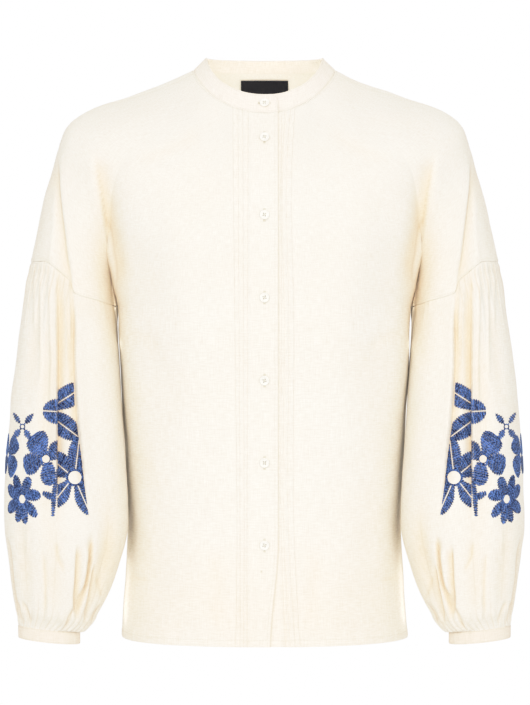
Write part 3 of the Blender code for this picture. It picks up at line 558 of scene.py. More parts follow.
def body_point(height, around):
    """A point of a body ring on the +X half: around is 0 at the centre front, 1 and 3 at the side
    seam and 4 at the centre back."""
    height, around = np.broadcast_arrays(np.asarray(height, float), np.asarray(around, float))
    in_front = around <= 1.5
    turn = np.where(in_front, around, 4 - around) * math.pi / 2
    x = body("half_width", height) * signed_power(np.sin(turn), ROUNDNESS)
    depth = np.where(in_front, body("front_depth", height), body("back_depth", height))
    out = depth * signed_power(np.cos(turn), ROUNDNESS)
    y = body("side_y", height) + np.where(in_front, -out, out)
    return np.stack([x, y, height], axis=-1)


def garment_point(down, around):
    """A point of the body or, above the underarm, of the shoulders. down is a height below the
    underarm and 0 to 1 above it, where 1 is the neck seam."""
    down = np.asarray(down, float)
    below = down < 0
    lower = body_point(np.where(below, down, UNDERARM_Z), around)
    upper = shoulder_point(np.where(below, 0.0, down), around)
    return np.where(below[..., None], lower, upper)


def sleeve_base(share, turn):
    """A point of the smooth sleeve on +X. share is 0 at the armhole seam and 1 at the cuff, and turn
    goes from the inner side over the front, in radians."""
    share, turn = np.broadcast_arrays(np.asarray(share, float), np.asarray(turn, float))
    seam = shoulder_point(np.zeros(turn.shape), 1 + (turn % (2 * math.pi)) / math.pi)
    inner_share = (1 + np.cos(turn)) / 2
    end_z = CUFF_OUTER_Z + (CUFF_INNER_Z - CUFF_OUTER_Z) * inner_share
    height = seam[..., 2] + (end_z - seam[..., 2]) * share
    inner_x, outer_x = sleeve_section("inner_x", height), sleeve_section("outer_x", height)
    x = (inner_x + outer_x) / 2 - (outer_x - inner_x) / 2 * np.cos(turn)
    y = sleeve_section("middle_y", height) - sleeve_section("half_depth", height) * np.sin(turn)
    end_x = CUFF_MIDDLE[0] - (CUFF_HALF_WIDTH - SLEEVE_INSET) * np.cos(turn)
    end_y = CUFF_MIDDLE[1] - (CUFF_HALF_DEPTH - SLEEVE_INSET) * np.sin(turn)
    at_seam, at_cuff = 1 - ease(share / SEAM_BLEND), ease((share - CUFF_BLEND_FROM) / CUFF_BLEND)
    x = x + (seam[..., 0] - x) * at_seam + (end_x - x) * at_cuff
    y = y + (seam[..., 1] - y) * at_seam + (end_y - y) * at_cuff
    return np.stack([x, y, height], axis=-1)


def neck_ring(angle):
    """A point of the neck seam, by its angle from the centre front towards +X."""
    turn = (angle + math.pi) % (2 * math.pi) - math.pi
    around = np.abs(turn) / (math.pi / 2) * 2
    point = shoulder_point(np.ones(np.shape(angle)), around)
    point[..., 0] *= np.sign(turn) + (turn == 0)
    return point


def band_point(angle, up):
    """A point of the collar band's outer face: up is 0 at the neck seam and 1 at the top edge."""
    seam = neck_ring(angle)
    front, back = np.clip(np.cos(angle), 0, 1), np.clip(-np.cos(angle), 0, 1)
    side = 1 - front - back
    rise = BAND_RISE_SIDE * side + BAND_RISE_FRONT * front + BAND_RISE_BACK * back
    lean_y = BAND_LEAN_FRONT * front - BAND_LEAN_BACK * back
    lean_x = -BAND_LEAN_SIDE * np.sin(angle) * np.abs(np.sin(angle))
    return seam + np.stack([lean_x * up, lean_y * up, rise * up + SEAM_GAP], axis=-1)


def underlap(x, recess):
    """How far the lower layer of the overlap lies back, by its distance from the centre front."""
    return recess * ease((UNDER_EASE - x) / (UNDER_EASE - UNDER_FLAT))


def grid_normals(points, wraps=False):
    """Unit normals of a grid whose columns run to the right and rows up, seen from outside."""
    along = np.gradient(points, axis=0)
    if wraps:
        around = np.roll(points, -1, axis=1) - np.roll(points, 1, axis=1)
    else:
        around = np.gradient(points, axis=1)
    return unit(np.cross(around, along))


# How the cloth settles on that form
def seen_from(points, facing):
    """Millimetres out from the centre and up from the collar points, as the camera sees them from
    the front (facing -1), or as it would from behind (facing 1)."""
    away = -CAMERA_PLACE[1]
    scale = away / (away - facing * points[..., 1])
    up = (points[..., 2] - CAMERA_PLACE[2]) * scale + CAMERA_PLACE[2]
    return np.abs(points[..., 0]) * scale * 1000, up * 1000


def smooth_line(line):
    """The line with a smooth curve between its points."""
    line = np.array(line, float)
    knots = np.arange(len(line))
    fine = np.linspace(0, len(line) - 1, 4 * (len(line) - 1) + 1)
    if len(line) < 3:
        return line
    return np.stack([smooth_through(knots, line[:, k], fine) for k in range(2)], axis=-1)


def crease_relief(across, up, creases):
    """How far the creases stand out, in metres, at points given in millimetres, then how much painted
    shade the cloth takes there in their hollows and along their sharp folds, 0 to 1."""
    relief = np.zeros(across.shape)
    hollow = np.zeros(across.shape)
    fold_shade = np.zeros(across.shape)
    for height, near, far, line in creases:
        line = smooth_line(line)
        reach = CREASE_REACH * max(near, far)
        low, high = line.min(axis=0) - reach, line.max(axis=0) + reach
        close = (across > low[0]) & (across < high[0]) & (up > low[1]) & (up < high[1])
        if not close.any():
            continue
        x, z = across[close], up[close]
        step = np.diff(line, axis=0)
        length = np.hypot(step[:, 0], step[:, 1])
        run = run_of(length)
        nearest = np.full(x.shape, np.inf)
        side = np.zeros(x.shape)
        place = np.zeros(x.shape)
        for k in range(len(step)):
            off_x, off_z = x - line[k, 0], z - line[k, 1]
            along = np.clip((off_x * step[k, 0] + off_z * step[k, 1]) / length[k] ** 2, 0, 1)
            distance = np.hypot(off_x - along * step[k, 0], off_z - along * step[k, 1])
            closer = distance < nearest
            nearest = np.where(closer, distance, nearest)
            side = np.where(closer, step[k, 0] * off_z - step[k, 1] * off_x, side)
            place = np.where(closer, (run[k] + along * length[k]) / run[-1], place)
        width = np.where(side > 0, far, near)
        taper = ease(place / CREASE_RISE) * ease((1 - place) / CREASE_FALL)
        shape = height / 1000 * taper * np.exp(-((nearest / width) ** 2))
        relief[close] += shape
        # painted warm shade in the hollow of a narrower crease
        if max(near, far) < WIDE_CREASE:
            hollow[close] -= shape
        # a line of painted shade along a sharp fold
        if min(near, far) < SHARP_CREASE:
            sharp = min(abs(height) / FULL_FOLD_SHADE, 1.0) * taper * np.exp(-((nearest / FOLD_SHADE_WIDTH) ** 2))
            fold_shade[close] = np.maximum(fold_shade[close], sharp)
    return relief, np.clip(hollow / HOLLOW_SHADE_FULL, 0, 1), fold_shade


def ripple(points):
    """The faint unevenness of hanging linen, the same on every piece so that they meet."""
    rng = np.random.default_rng(41)
    height = np.zeros(points.shape[:-1])
    for _ in range(RIPPLES):
        wavelength = rng.uniform(*RIPPLE_LENGTHS)
        heading = unit(rng.normal(size=3) * (1.0, 1.0, 0.55)) * 2 * math.pi / wavelength
        height += RIPPLE * wavelength * np.sin(points @ heading + rng.uniform(0, 2 * math.pi))
    return height


def settle(points, normals, side):
    """Points moved along their normals by the creases and ripples. Returns them, and how much painted
    shade the cloth takes in its hollows and along its sharp folds."""
    world = points if side > 0 else mirrored(points)
    front = ease((0.22 - normals[..., 1]) / 0.4)
    back = ease((normals[..., 1] + 0.18) / 0.4)
    away_from_button_line = ease((np.abs(points[..., 0]) - FLAT_FRONT) / FLAT_FRONT)
    across, up = seen_from(points, -1)
    relief, hollow, fold_shade = crease_relief(across, up, FRONT_CREASES)
    # painted warm shade in broad places, for the light that the cloth throws on itself
    for share, x, z, reach_x, reach_z in WARM_PLACES:
        hollow = hollow + share * np.exp(-(((across - x) / reach_x) ** 2) - ((up - z) / reach_z) ** 2)
    move, hollow, fold_shade = front * relief, front * hollow, front * fold_shade
    slip_off = np.hypot(across - SLIP_PLACE[0], up - SLIP_PLACE[1])
    slip_side = np.tanh((across - SLIP_PLACE[0]) / SLIP_EDGE)
    slip = SLIP / 1000 * slip_side * np.exp(-((slip_off / SLIP_REACH) ** 2)) * front
    lift_across, lift_up = (across - LIFT_PLACE[0]) / LIFT_REACH[0], (up - LIFT_PLACE[1]) / LIFT_REACH[1]
    slip = slip + LIFT / 1000 * np.exp(-(lift_across**2) - lift_up**2) * front
    across, up = seen_from(points, 1)
    relief, back_hollow_shade, back_fold_shade = crease_relief(across, up, BACK_CREASES)
    hollow = np.clip(hollow + back * back_hollow_shade, 0, 1)
    move, fold_shade = move + back * relief, np.maximum(fold_shade, back * back_fold_shade)
    move = move + ripple(world) * away_from_button_line
    moved = points + move[..., None] * normals
    moved[..., 2] += slip
    return moved, np.stack([hollow, fold_shade], axis=-1)


def fold_line(fold, share):
    """Where a long fold lies round the sleeve, and how far it has risen and fallen again."""
    line = math.radians(fold["turn"]) + math.radians(fold["drift"]) * share
    rise = ease((share - fold["start"]) / (fold["middle"] - fold["start"]))
    fall = 1 - ease((share - fold["middle"]) / (fold["end"] - fold["middle"]))
    return line, rise, fall


def fold_relief(share, turn):
    """The sleeve's long folds and its gathers at both seams."""
    clear_of_body = ease((1 - np.cos(turn)) / 0.35)
    relief = np.zeros(np.broadcast(share, turn).shape)

    def bell(line, width):
        return np.exp(-((off_line(turn, line) / width) ** 2))

    for row in SLEEVE_FOLDS:
        fold = dict(zip(FOLD_COLUMNS, row))
        line, rise, fall = fold_line(fold, share)
        across = bell(line, math.radians(fold["width"]))
        relief = relief + FOLD_SCALE * fold["depth"] * rise * fall * across
    for turned, length, height, width in HEAD_GATHERS:
        shape = bell(math.radians(turned), math.radians(width))
        relief = relief + height * clear_of_body * shape * (1 - ease(share / length))
    for turned, length, height, width in CUFF_GATHERS:
        spread_out = 1 + CUFF_GATHER_SPREAD * (1 - share) / length
        shape = bell(math.radians(turned), np.radians(width * spread_out))
        relief = relief + height * shape * (1 - ease((1 - share) / length))
    return relief * ease(share / 0.016) * (1 - 0.8 * ease((share - 0.985) / 0.015))


def gather_shade_lines(share, turn):
    """How much painted shade lies along the crease beside each gather and in the lower folds, 0 to 1."""
    sharp = np.zeros(np.broadcast(share, turn).shape)

    def beside(line):
        return np.exp(-((off_line(turn, line) / math.radians(GATHER_SHADE_WIDTH)) ** 2))

    for turned, length, height, width in HEAD_GATHERS:
        line = beside(math.radians(turned - 0.9 * width))
        sharp = np.maximum(sharp, 1.10 * height / FULL_GATHER_SHADE * line * (1 - ease(share / length)))
    for turned, length, height, width in CUFF_GATHERS:
        spread_out = 1 + CUFF_GATHER_SPREAD * (1 - share) / length
        line = beside(np.radians(turned - 0.9 * width * spread_out))
        near_cuff = 1 - ease((1 - share) / length)
        sharp = np.maximum(sharp, 1.20 * height / FULL_GATHER_SHADE * line * near_cuff)
    for row in SLEEVE_FOLDS:
        fold = dict(zip(FOLD_COLUMNS, row))
        if fold["depth"] < 0 and fold["start"] > LOWER_FOLD:
            line, rise, fall = fold_line(fold, share)
            depth = FOLD_SCALE * -fold["depth"] / FULL_LOWER_FOLD_SHADE
            sharp = np.maximum(sharp, depth * rise * fall * beside(line))
    return sharp * ease(share / 0.010)


# Meshes
def shell_mesh(name, outer, inner, cells, place, shade=None):
    """One closed shell between an outer and an inner grid, with the cloth's own coordinates in metres
    and the painted shade of its hollows and sharp folds for the material."""
    rows, columns = outer.shape[:2]
    index = np.arange(rows * columns).reshape(rows, columns)
    r, c = np.nonzero(cells)
    after = (c + 1) % columns
    quads = np.stack([index[r, c], index[r, after], index[r + 1, after], index[r + 1, c]], axis=1)
    where = np.stack([place[r, c], place[r, c + 1], place[r + 1, c + 1], place[r + 1, c]], axis=1)
    edges = np.concatenate([quads[:, [k, (k + 1) % 4]] for k in range(4)])
    edge_where = np.concatenate([where[:, [k, (k + 1) % 4]] for k in range(4)])
    keys = edges.min(axis=1) * rows * columns + edges.max(axis=1)
    _, first, count = np.unique(keys, return_index=True, return_counts=True)
    rim, rim_where = edges[first[count == 1]], edge_where[first[count == 1]]
    inside = rows * columns
    walls = np.stack([rim[:, 1], rim[:, 0], rim[:, 0] + inside, rim[:, 1] + inside], axis=1)
    wall_where = np.stack([rim_where[:, 1], rim_where[:, 0], rim_where[:, 0], rim_where[:, 1]], axis=1)
    faces = np.concatenate([quads, quads[:, ::-1] + inside, walls])
    corners = np.concatenate([where, where[:, ::-1], wall_where]).reshape(-1, 2)
    used, flat = np.unique(faces.ravel(), return_inverse=True)
    points = np.concatenate([outer.reshape(-1, 3), inner.reshape(-1, 3)])[used]
    if shade is None:
        shade = np.zeros((rows, columns, 2))
    shades = np.concatenate([shade.reshape(-1, 2)] * 2)[used]
    mesh = quad_mesh(name, points, flat.reshape(-1, 4))
    layer = mesh.uv_layers.new(name="cloth_place")
    layer.data.foreach_set("uv", corners.astype(np.float32).ravel())
    # masks of painted shade in hollows and along sharp folds
    for number, word in enumerate(("hollow", "fold_shade")):
        layer = mesh.attributes.new(word, "FLOAT", "POINT")
        layer.data.foreach_set("value", shades[:, number].astype(np.float32))
    mesh.set_sharp_from_angle(angle=math.radians(48))
    return mesh


def quad_mesh(name, points, quads):
    mesh = bpy.data.meshes.new(name)
    mesh.vertices.add(len(points))
    mesh.vertices.foreach_set("co", np.asarray(points, np.float32).ravel())
    mesh.loops.add(quads.size)
    mesh.loops.foreach_set("vertex_index", quads.astype(np.int32).ravel())
    mesh.polygons.add(len(quads))
    mesh.polygons.foreach_set("loop_start", np.arange(0, quads.size, 4, dtype=np.int32))
    mesh.update(calc_edges=True)
    mesh.validate()
    mesh.shade_smooth()
    return mesh


def link_object(name, data):
    made = bpy.data.objects.new(name, data)
    bpy.context.scene.collection.objects.link(made)
    return made


def add_piece(name, mesh, surface, node=None):
    """Links a mesh as one piece that rides on the blouse, in the place of its solid if it has one."""
    piece = link_object(name, mesh)
    mesh.materials.append(surface)
    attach(piece, "root")
    if node:
        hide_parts(node)
    return piece


def cloth_place(points, wraps=False):
    """How far each point of a grid lies round and up the cloth, in metres."""
    closed = np.concatenate([points, points[:, :1]], axis=1) if wraps else points
    middle = len(points) // 2
    u = run_of(step_lengths(closed[middle]))
    v = run_of(np.linalg.norm(np.diff(points, axis=0), axis=2).mean(axis=1))
    return np.stack(np.broadcast_arrays(u[None, :], v[:, None]), axis=-1)


def edge_distance(points, cells):
    """How far each point of a grid is from the nearest edge of its cells, along the grid's lines."""
    rows, columns = points.shape[:2]
    up = np.zeros((rows, columns))
    up[1:] = np.cumsum(np.linalg.norm(np.diff(points, axis=0), axis=2), axis=0)
    right = np.zeros((rows, columns))
    right[:, 1:] = np.cumsum(np.linalg.norm(np.diff(points, axis=1), axis=2), axis=1)
    used = np.zeros((rows, columns), bool)
    for shift_row, shift_column in ((0, 0), (0, 1), (1, 0), (1, 1)):
        height, width = cells.shape
        used[shift_row : shift_row + height, shift_column : shift_column + width] |= cells
    first_row = used.argmax(axis=0)
    first_column = used.argmax(axis=1)
    last_column = columns - 1 - used[:, ::-1].argmax(axis=1)
    number = np.arange(rows)
    left_edge = right - right[number, first_column][:, None]
    right_edge = right[number, last_column][:, None] - right
    bottom = up - up[first_row, np.arange(columns)][None]
    return np.minimum.reduce([np.abs(left_edge), np.abs(right_edge), np.abs(bottom), up[-1][None] - up])


def seam_relief(distance, along, firm=1.0):
    """Cloth rolling into its seams, with the small puckers that the thread draws up. It rolls less
    where a firm band holds it flat."""
    dip = -SEAM_DIP * firm * np.exp(-((distance / SEAM_ROLL) ** 2))
    first, second = [along * 2 * math.pi / length for length in PUCKER_LENGTHS]
    waves = np.sin(first) + 0.6 * np.sin(second + 1.0)
    return dip + PUCKER * waves * np.exp(-distance / PUCKER_REACH) * (1 - np.exp(-((distance / 0.0012) ** 2)))


def drawn_in(points, cells):
    """Moves the edge of a grid a little way in, so that two pieces don't share a seam's points."""
    moved = points.copy()

    def draw(edge, inward):
        moved[edge] += SEAM_GAP * unit(points[inward] - points[edge])

    top = len(points) - 1
    draw(np.s_[top, :], np.s_[top - 1, :])
    for column in range(points.shape[1]):
        filled = cells[:, min(column, cells.shape[1] - 1)] | cells[:, max(column - 1, 0)]
        row = int(filled.argmax())
        draw(np.s_[row, column], np.s_[row + 1, column])
    for row in range(len(points)):
        filled = cells[min(row, len(cells) - 1)]
        first = int(filled.argmax())
        last = int(len(filled) - filled[::-1].argmax())
        draw(np.s_[row, first], np.s_[row, first + 1])
        draw(np.s_[row, last], np.s_[row, last - 1])
    return moved


# Body panels
def panel_rows():
    """Heights from the hem to the underarm, then levels from the armholes to the neck seam."""
    body_heights = HEM_Z + (UNDERARM_Z - HEM_Z) * spread(BODY_ROWS, 0.0016)
    body_heights = np.sort(np.append(body_heights[:-1], HEM_Z + HEM_DEPTH * np.array(HEM_ROWS)))
    return body_heights, spread(SHOULDER_ROWS, 0.0035)


def around_for_x(row, x_wanted):
    """How far round a ring the point with this x lies."""
    samples = np.linspace(-0.5, 1.0, 241)
    return np.interp(x_wanted, garment_point(np.full(samples.shape, row), samples)[:, 0], samples)


def shoulder_seam_shift(row):
    return SEAM_FORWARD * float(ease((row - SEAM_FORWARD_FROM) / (SEAM_FORWARD_FULL - SEAM_FORWARD_FROM)))


def cap_columns(reach, count, fold=0.0):
    """Columns over the upper arm, from the far side of the armpit crease as far round as reach,
    closer together about its long fold."""
    shares = spread(count, 0.006)
    density = 1 + fold * np.exp(-(((shares - 0.60) / 0.20) ** 2))
    run = run_of(np.diff(shares) * (density[1:] + density[:-1]) / 2)
    shares = np.interp(np.linspace(0, 1, count + 1), run / run[-1], shares)[1:]
    beyond = CREASE_SPAN + (reach - 1 - CREASE_SPAN) * shares
    return 1 + np.concatenate([[0.5 * CREASE_SPAN, CREASE_SPAN], beyond])


def tuck_places(table, height):
    data = np.array(table)
    return [float(smooth_through(data[:, 0], data[:, k + 1], height)) for k in range(4)]


def front_columns(row, table, edge_swing):
    """Where the columns of a front lie round the ring, and the height of its tucks at each."""
    height = row if row < 0 else float(shoulder_point(row, 0.0)[2])
    edge = -OVERLAP + edge_swing * float(ease((HEM_Z + SWING_HEIGHT - height) / SWING_HEIGHT))
    tucks = tuck_places(table, height)
    near = [edge + step for step in PLACKET_EDGE]
    near += list(np.linspace(edge + PLACKET_STITCH, tucks[0] + TUCK_PROFILE[0][0], PLACKET_COLUMNS + 1)[1:-1])
    heights = [0.0] * len(near)
    for tuck in tucks:
        near += [tuck + across for across, _ in TUCK_PROFILE]
        heights += [rise for _, rise in TUCK_PROFILE]
    near = np.maximum.accumulate(np.array(near) + 1e-6 * np.arange(len(near)))
    around = around_for_x(row, near)
    side = around[-1] + (1 - around[-1]) * spread(SIDE_COLUMNS, 0.005)[1:]
    cap = cap_columns(2 - shoulder_seam_shift(row), CAP_COLUMNS, 2.0)
    heights = np.concatenate([heights, np.zeros(len(side) + len(cap))])
    return np.concatenate([around, side, cap]), heights


def hem_row(points, column):
    """The row of a panel's grid that the hem's stitching follows."""
    below = len(panel_rows()[0])
    return int(np.argmin(np.abs(points[:below, column, 2] - HEM_Z - HEM_DEPTH * HEM_ROWS[0])))


def parametric_normals(rows, columns):
    """Outward normals of the body below the underarm and of the shoulders above it."""
    below = np.where(rows < 0, rows, -0.30)
    above = np.where(rows < 0, 0.5, rows)
    step = 0.01

    def on_body(row, column):
        return body_point(np.clip(row, HEM_Z, UNDERARM_Z), column)

    def on_shoulder(row, column):
        return shoulder_point(np.clip(row, 0, 1), column)

    found = []
    for point, row, row_step in ((on_body, below, 0.002), (on_shoulder, above, 0.004)):
        along = point(row + row_step, columns) - point(row - row_step, columns)
        around = point(row, columns + step) - point(row, columns - step)
        found.append(unit(np.cross(around, along)))
    return np.where((rows < 0)[..., None], found[0], found[1])


def hem_relief(height):
    """The turned-up hem stands a little proud of the single cloth above it."""
    return HEM_STEP * (1 - ease((height - HEM_Z - HEM_DEPTH * HEM_ROWS[0]) / (HEM_DEPTH * 0.28)))


def finish_shell(name, node, outer, thickness, cells, side, extra, surface):
    """Settles a body panel's cloth, thickens it and turns it to its own side."""
    rows = panel_rows_grid(outer.shape[1])
    place = cloth_place(outer)
    distance = edge_distance(outer, cells)
    normal = extra["normal"]
    along = np.where(distance < 0.02, place[..., 0] + place[..., 1], 0)
    outer = drawn_in(outer, cells)
    outer, shade = settle(outer, normal, side)
    # a line of painted shade beside each tuck and along the front's edge
    shade[..., 1] = np.maximum(shade[..., 1], extra["shade_lines"])
    firm = 1 - 0.7 * ease((rows - 0.95) / 0.05)
    detail = seam_relief(distance, along, firm) + np.where(rows < 0, hem_relief(outer[..., 2]), 0)
    outer = outer + detail[..., None] * normal
    if "recess" in extra:
        outer[..., 1] += extra["recess"](outer[..., 0])
    inner = outer - thickness[..., None] * normal
    outer = outer + extra["tucks"][..., None] * normal
    if side < 0:
        outer, inner = mirrored(outer)[:, ::-1], mirrored(inner)[:, ::-1]
        cells, place, shade = cells[:, ::-1], place[:, ::-1], shade[:, ::-1]
    mesh = shell_mesh(name, outer, inner, cells, place, shade)
    piece = add_piece(name, mesh, surface, node)
    return piece, outer, grid_normals(outer)


def panel_rows_grid(columns):
    below, above = panel_rows()
    return np.repeat(np.concatenate([below, above])[:, None], columns, axis=1)


def front_panel(node, side, upper, surface):
    below, above = panel_rows()
    rows = np.concatenate([below, above])
    table = TUCKS_RIGHT if upper else TUCKS_LEFT
    made = [front_columns(row, table, EDGE_SWING if upper else 0.0) for row in rows]
    around = np.array([columns for columns, _ in made])
    tucks = np.array([heights for _, heights in made])
    row_grid = np.repeat(rows[:, None], around.shape[1], axis=1)
    outer = garment_point(row_grid, around)
    normal = parametric_normals(row_grid, around)
    underarm = int(np.argmin(np.abs(around[0] - 1.0)))
    cells = np.ones((len(rows) - 1, around.shape[1] - 1), bool)
    cells[: len(below), underarm:] = False
    outer[: len(below), underarm + 1 :] = outer[len(below), underarm + 1 :]
    thickness = np.where(around < around_for_x(-0.3, BAND_WIDE), BAND_CLOTH, CLOTH)
    # a line of painted shade beside each tuck and along the front's edge, stronger low down
    beside_tuck = (np.roll(tucks, 1, axis=1) > tucks) & (tucks > 0)
    shade_lines = TUCK_SHADE_LINES[0] * beside_tuck + TUCK_SHADE_LINES[1] * np.roll(beside_tuck, 1, axis=1)
    shade_lines[:, :2] = EDGE_SHADE_LINE
    shade_lines[rows < LOW_EDGE, :2] = LOW_EDGE_SHADE_LINE
    extra = {"normal": normal, "tucks": tucks, "shade_lines": shade_lines}
    if not upper:
        extra["recess"] = lambda x: underlap(x, BAND_CLOTH + BAND_GAP)
    return finish_shell(node + "_cloth", node, outer, thickness, cells, side, extra, surface)


def back_panel(surface):
    """The back in one piece, over the ridge to the shoulder seams in front of it."""
    below, above = panel_rows()
    rows = np.concatenate([below, above])
    body_part = spread(BACK_COLUMNS, 0.004)
    caps = [cap_columns(2 + shoulder_seam_shift(row), BACK_CAP_COLUMNS) for row in rows]
    around = np.array([4 - np.concatenate([body_part, cap]) for cap in caps])
    underarm = BACK_COLUMNS
    row_grid = np.repeat(rows[:, None], around.shape[1], axis=1)
    outer = garment_point(row_grid, around)
    normal = parametric_normals(row_grid, around)
    outer[: len(below), underarm + 1 :] = outer[len(below), underarm + 1 :]
    cap = around.shape[1] - 1 - underarm
    outer = np.concatenate([outer[:, :0:-1], mirrored(outer)], axis=1)
    normal = np.concatenate([normal[:, :0:-1], mirrored(normal)], axis=1)
    cells = np.ones((len(rows) - 1, outer.shape[1] - 1), bool)
    cells[: len(below), :cap] = False
    cells[: len(below), -cap:] = False
    thickness = np.full(outer.shape[:2], CLOTH)
    plain = np.zeros(outer.shape[:2])
    extra = {"normal": normal, "tucks": plain, "shade_lines": plain}
    return finish_shell("back_cloth", "back", outer, thickness, cells, 1, extra, surface)


# Sleeves and cuffs
def sleeve_turns():
    """Turns round the sleeve, closest together over the front, where its folds and flowers are."""
    even = np.linspace(0, 2 * math.pi, 721)
    density = 1 + 1.7 * np.exp(-(((even - math.radians(95)) / math.radians(40)) ** 2))
    run = run_of((density[1:] + density[:-1]) / 2)
    return np.interp(np.arange(SLEEVE_COLUMNS_ROUND) * run[-1] / SLEEVE_COLUMNS_ROUND, run, even)


def sleeve_grid(side):
    """The settled sleeve on +X as a grid of points, with the painted shade of its hollows and folds."""
    turns = sleeve_turns()
    share_grid, turn_grid = np.meshgrid(spread(SLEEVE_ROWS, 0.0028), turns, indexing="ij")
    base = sleeve_base(share_grid, turn_grid)
    normal = grid_normals(base[::-1], wraps=True)[::-1]
    normal[0] = parametric_normals(np.zeros(len(turns)), 1.0 + turns / math.pi)
    clear_of_body = ease((1 - np.cos(turn_grid)) / 0.10)
    settled, shade = settle(base, normal, side)
    at_cuff = 1 - ease((share_grid - 0.975) / 0.025)
    roll = SEAM_DIP * np.exp(-((share_grid * SLEEVE_LENGTH / SEAM_ROLL) ** 2))
    relief = fold_relief(share_grid, turn_grid) - roll
    keep = (clear_of_body * at_cuff)[..., None]
    points = base + (settled - base) * keep + relief[..., None] * normal
    points[0] += SEAM_GAP * unit(points[1] - points[0])
    inner_share = ((1 + np.cos(turn_grid)) / 2) ** 2
    at_seam = 1 - ease((share_grid - 0.990) / 0.010)
    over_cuff = np.exp(-(((share_grid - POUCH_PLACE[0]) / POUCH_PLACE[1]) ** 2)) * inner_share * at_seam
    points[..., 0] -= POUCH[0] * over_cuff
    points[..., 2] -= POUCH[1] * over_cuff
    # painted shade in the sleeve's troughs and along the creases beside its gathers and lower folds
    sharp = gather_shade_lines(share_grid, turn_grid)
    shade = shade * keep + np.stack([np.clip(-relief / 0.006, 0, 0.5), sharp], axis=-1)
    return points, shade


def sleeve(node, side, surface):
    points, shade = sleeve_grid(side)
    normal = grid_normals(points[::-1], wraps=True)[::-1]
    place = cloth_place(points, wraps=True)
    outer, inner = points[::-1], (points - CLOTH * normal)[::-1]
    shade = shade[::-1]
    if side < 0:
        outer, inner, shade = mirrored(outer)[:, ::-1], mirrored(inner)[:, ::-1], shade[:, ::-1]
    cells = np.ones((len(points) - 1, points.shape[1]), bool)
    mesh = shell_mesh(node + "_cloth", outer, inner, cells, place, shade)
    piece = add_piece(node + "_cloth", mesh, surface, node)
    return piece, points, normal


def cuff_grid():
    """The cuff on +X: rows from its lower edge to its upper one."""
    turn = np.arange(CUFF_COLUMNS) * 2 * math.pi / CUFF_COLUMNS
    inner_share = (1 + np.cos(turn)) / 2
    top = CUFF_OUTER_Z + (CUFF_INNER_Z - CUFF_OUTER_Z) * inner_share - SEAM_GAP / 2
    rise = spread(CUFF_ROWS, 0.04)
    out = np.stack([-np.cos(turn), -np.sin(turn), 0 * turn], axis=-1)
    points = np.zeros((len(rise), CUFF_COLUMNS, 3))
    points[..., 0] = CUFF_MIDDLE[0] - CUFF_HALF_WIDTH * np.cos(turn)
    points[..., 1] = CUFF_MIDDLE[1] - CUFF_HALF_DEPTH * np.sin(turn)
    points[..., 2] = top[None] - CUFF_HEIGHT * (1 - rise[:, None])
    edge = np.minimum(rise, 1 - rise)[:, None] * CUFF_HEIGHT
    depth, reach = CUFF_EDGE
    relief = -depth * np.exp(-((edge / reach) ** 2))
    depth, count = CUFF_PUCKER
    pucker = depth * np.sin(turn * count + 1.5 * np.sin(turn * 3))
    relief = relief + pucker * np.exp(-(1 - rise[:, None]) * 3)
    depth, place, width = CUFF_CREASE
    crease = np.exp(-((np.degrees(turn) - place) / width) ** 2)
    relief = relief - depth * crease[None]
    return points + relief[..., None] * out, out


def cuff(node, side, surface):
    points, out = cuff_grid()
    place = cloth_place(points, wraps=True)
    inner = points - (BAND_CLOTH - 0.0002) * out[None]
    outer = points
    if side < 0:
        outer, inner = mirrored(outer)[:, ::-1], mirrored(inner)[:, ::-1]
    cells = np.ones((len(points) - 1, points.shape[1]), bool)
    # painted shade over the whole cuff
    shade = np.full(points.shape[:2] + (2,), CUFF_SHADE)
    mesh = shell_mesh(node + "_cloth", outer, inner, cells, place, shade)
    piece = add_piece(node + "_cloth", mesh, surface, node)
    return piece, points, grid_normals(points, wraps=True)


# Collar band, label and buttons
def collar_band(surface):
    """The stand collar: from the hidden end under the overlap, round the back, to the rounded end."""
    edge_start = around_for_x(1.0, -OVERLAP) * math.pi / 4
    edge_end = 2 * math.pi - around_for_x(1.0, -OVERLAP) * math.pi / 4
    angle = edge_start + (edge_end - edge_start) * spread(BAND_COLUMNS, 0.0006)
    end = np.clip((angle[-1] - angle) * float(shoulder("front_depth", 1.0)) / BAND_CORNER, 0, 1)
    top = 1 - (1 - np.sqrt(1 - (1 - end) ** 2)) * BAND_CORNER / BAND_RISE_FRONT
    rise = spread(BAND_ROWS, 0.03)
    angle_grid = np.repeat(angle[None], len(rise), axis=0)
    outer = band_point(angle_grid, rise[:, None] * top[None])
    normal = grid_normals(outer)
    lower = angle_grid < math.pi / 2
    outer[..., 1] += np.where(lower, underlap(outer[..., 0], BAND_CLOTH + BAND_GAP), 0)
    cells = np.ones((len(rise) - 1, len(angle) - 1), bool)
    distance = edge_distance(outer, cells)
    place = cloth_place(outer)
    relief = -0.00022 * np.exp(-((distance / 0.0008) ** 2)) + 0.6 * ripple(outer) * ease(distance / 0.004)
    settled = outer + relief[..., None] * normal
    inner = outer - (BAND_CLOTH + 0.5 * relief)[..., None] * normal
    mesh = shell_mesh("collar_band_cloth", settled, inner, cells, place)
    return add_piece("collar_band_cloth", mesh, surface, "collar_band"), settled, normal


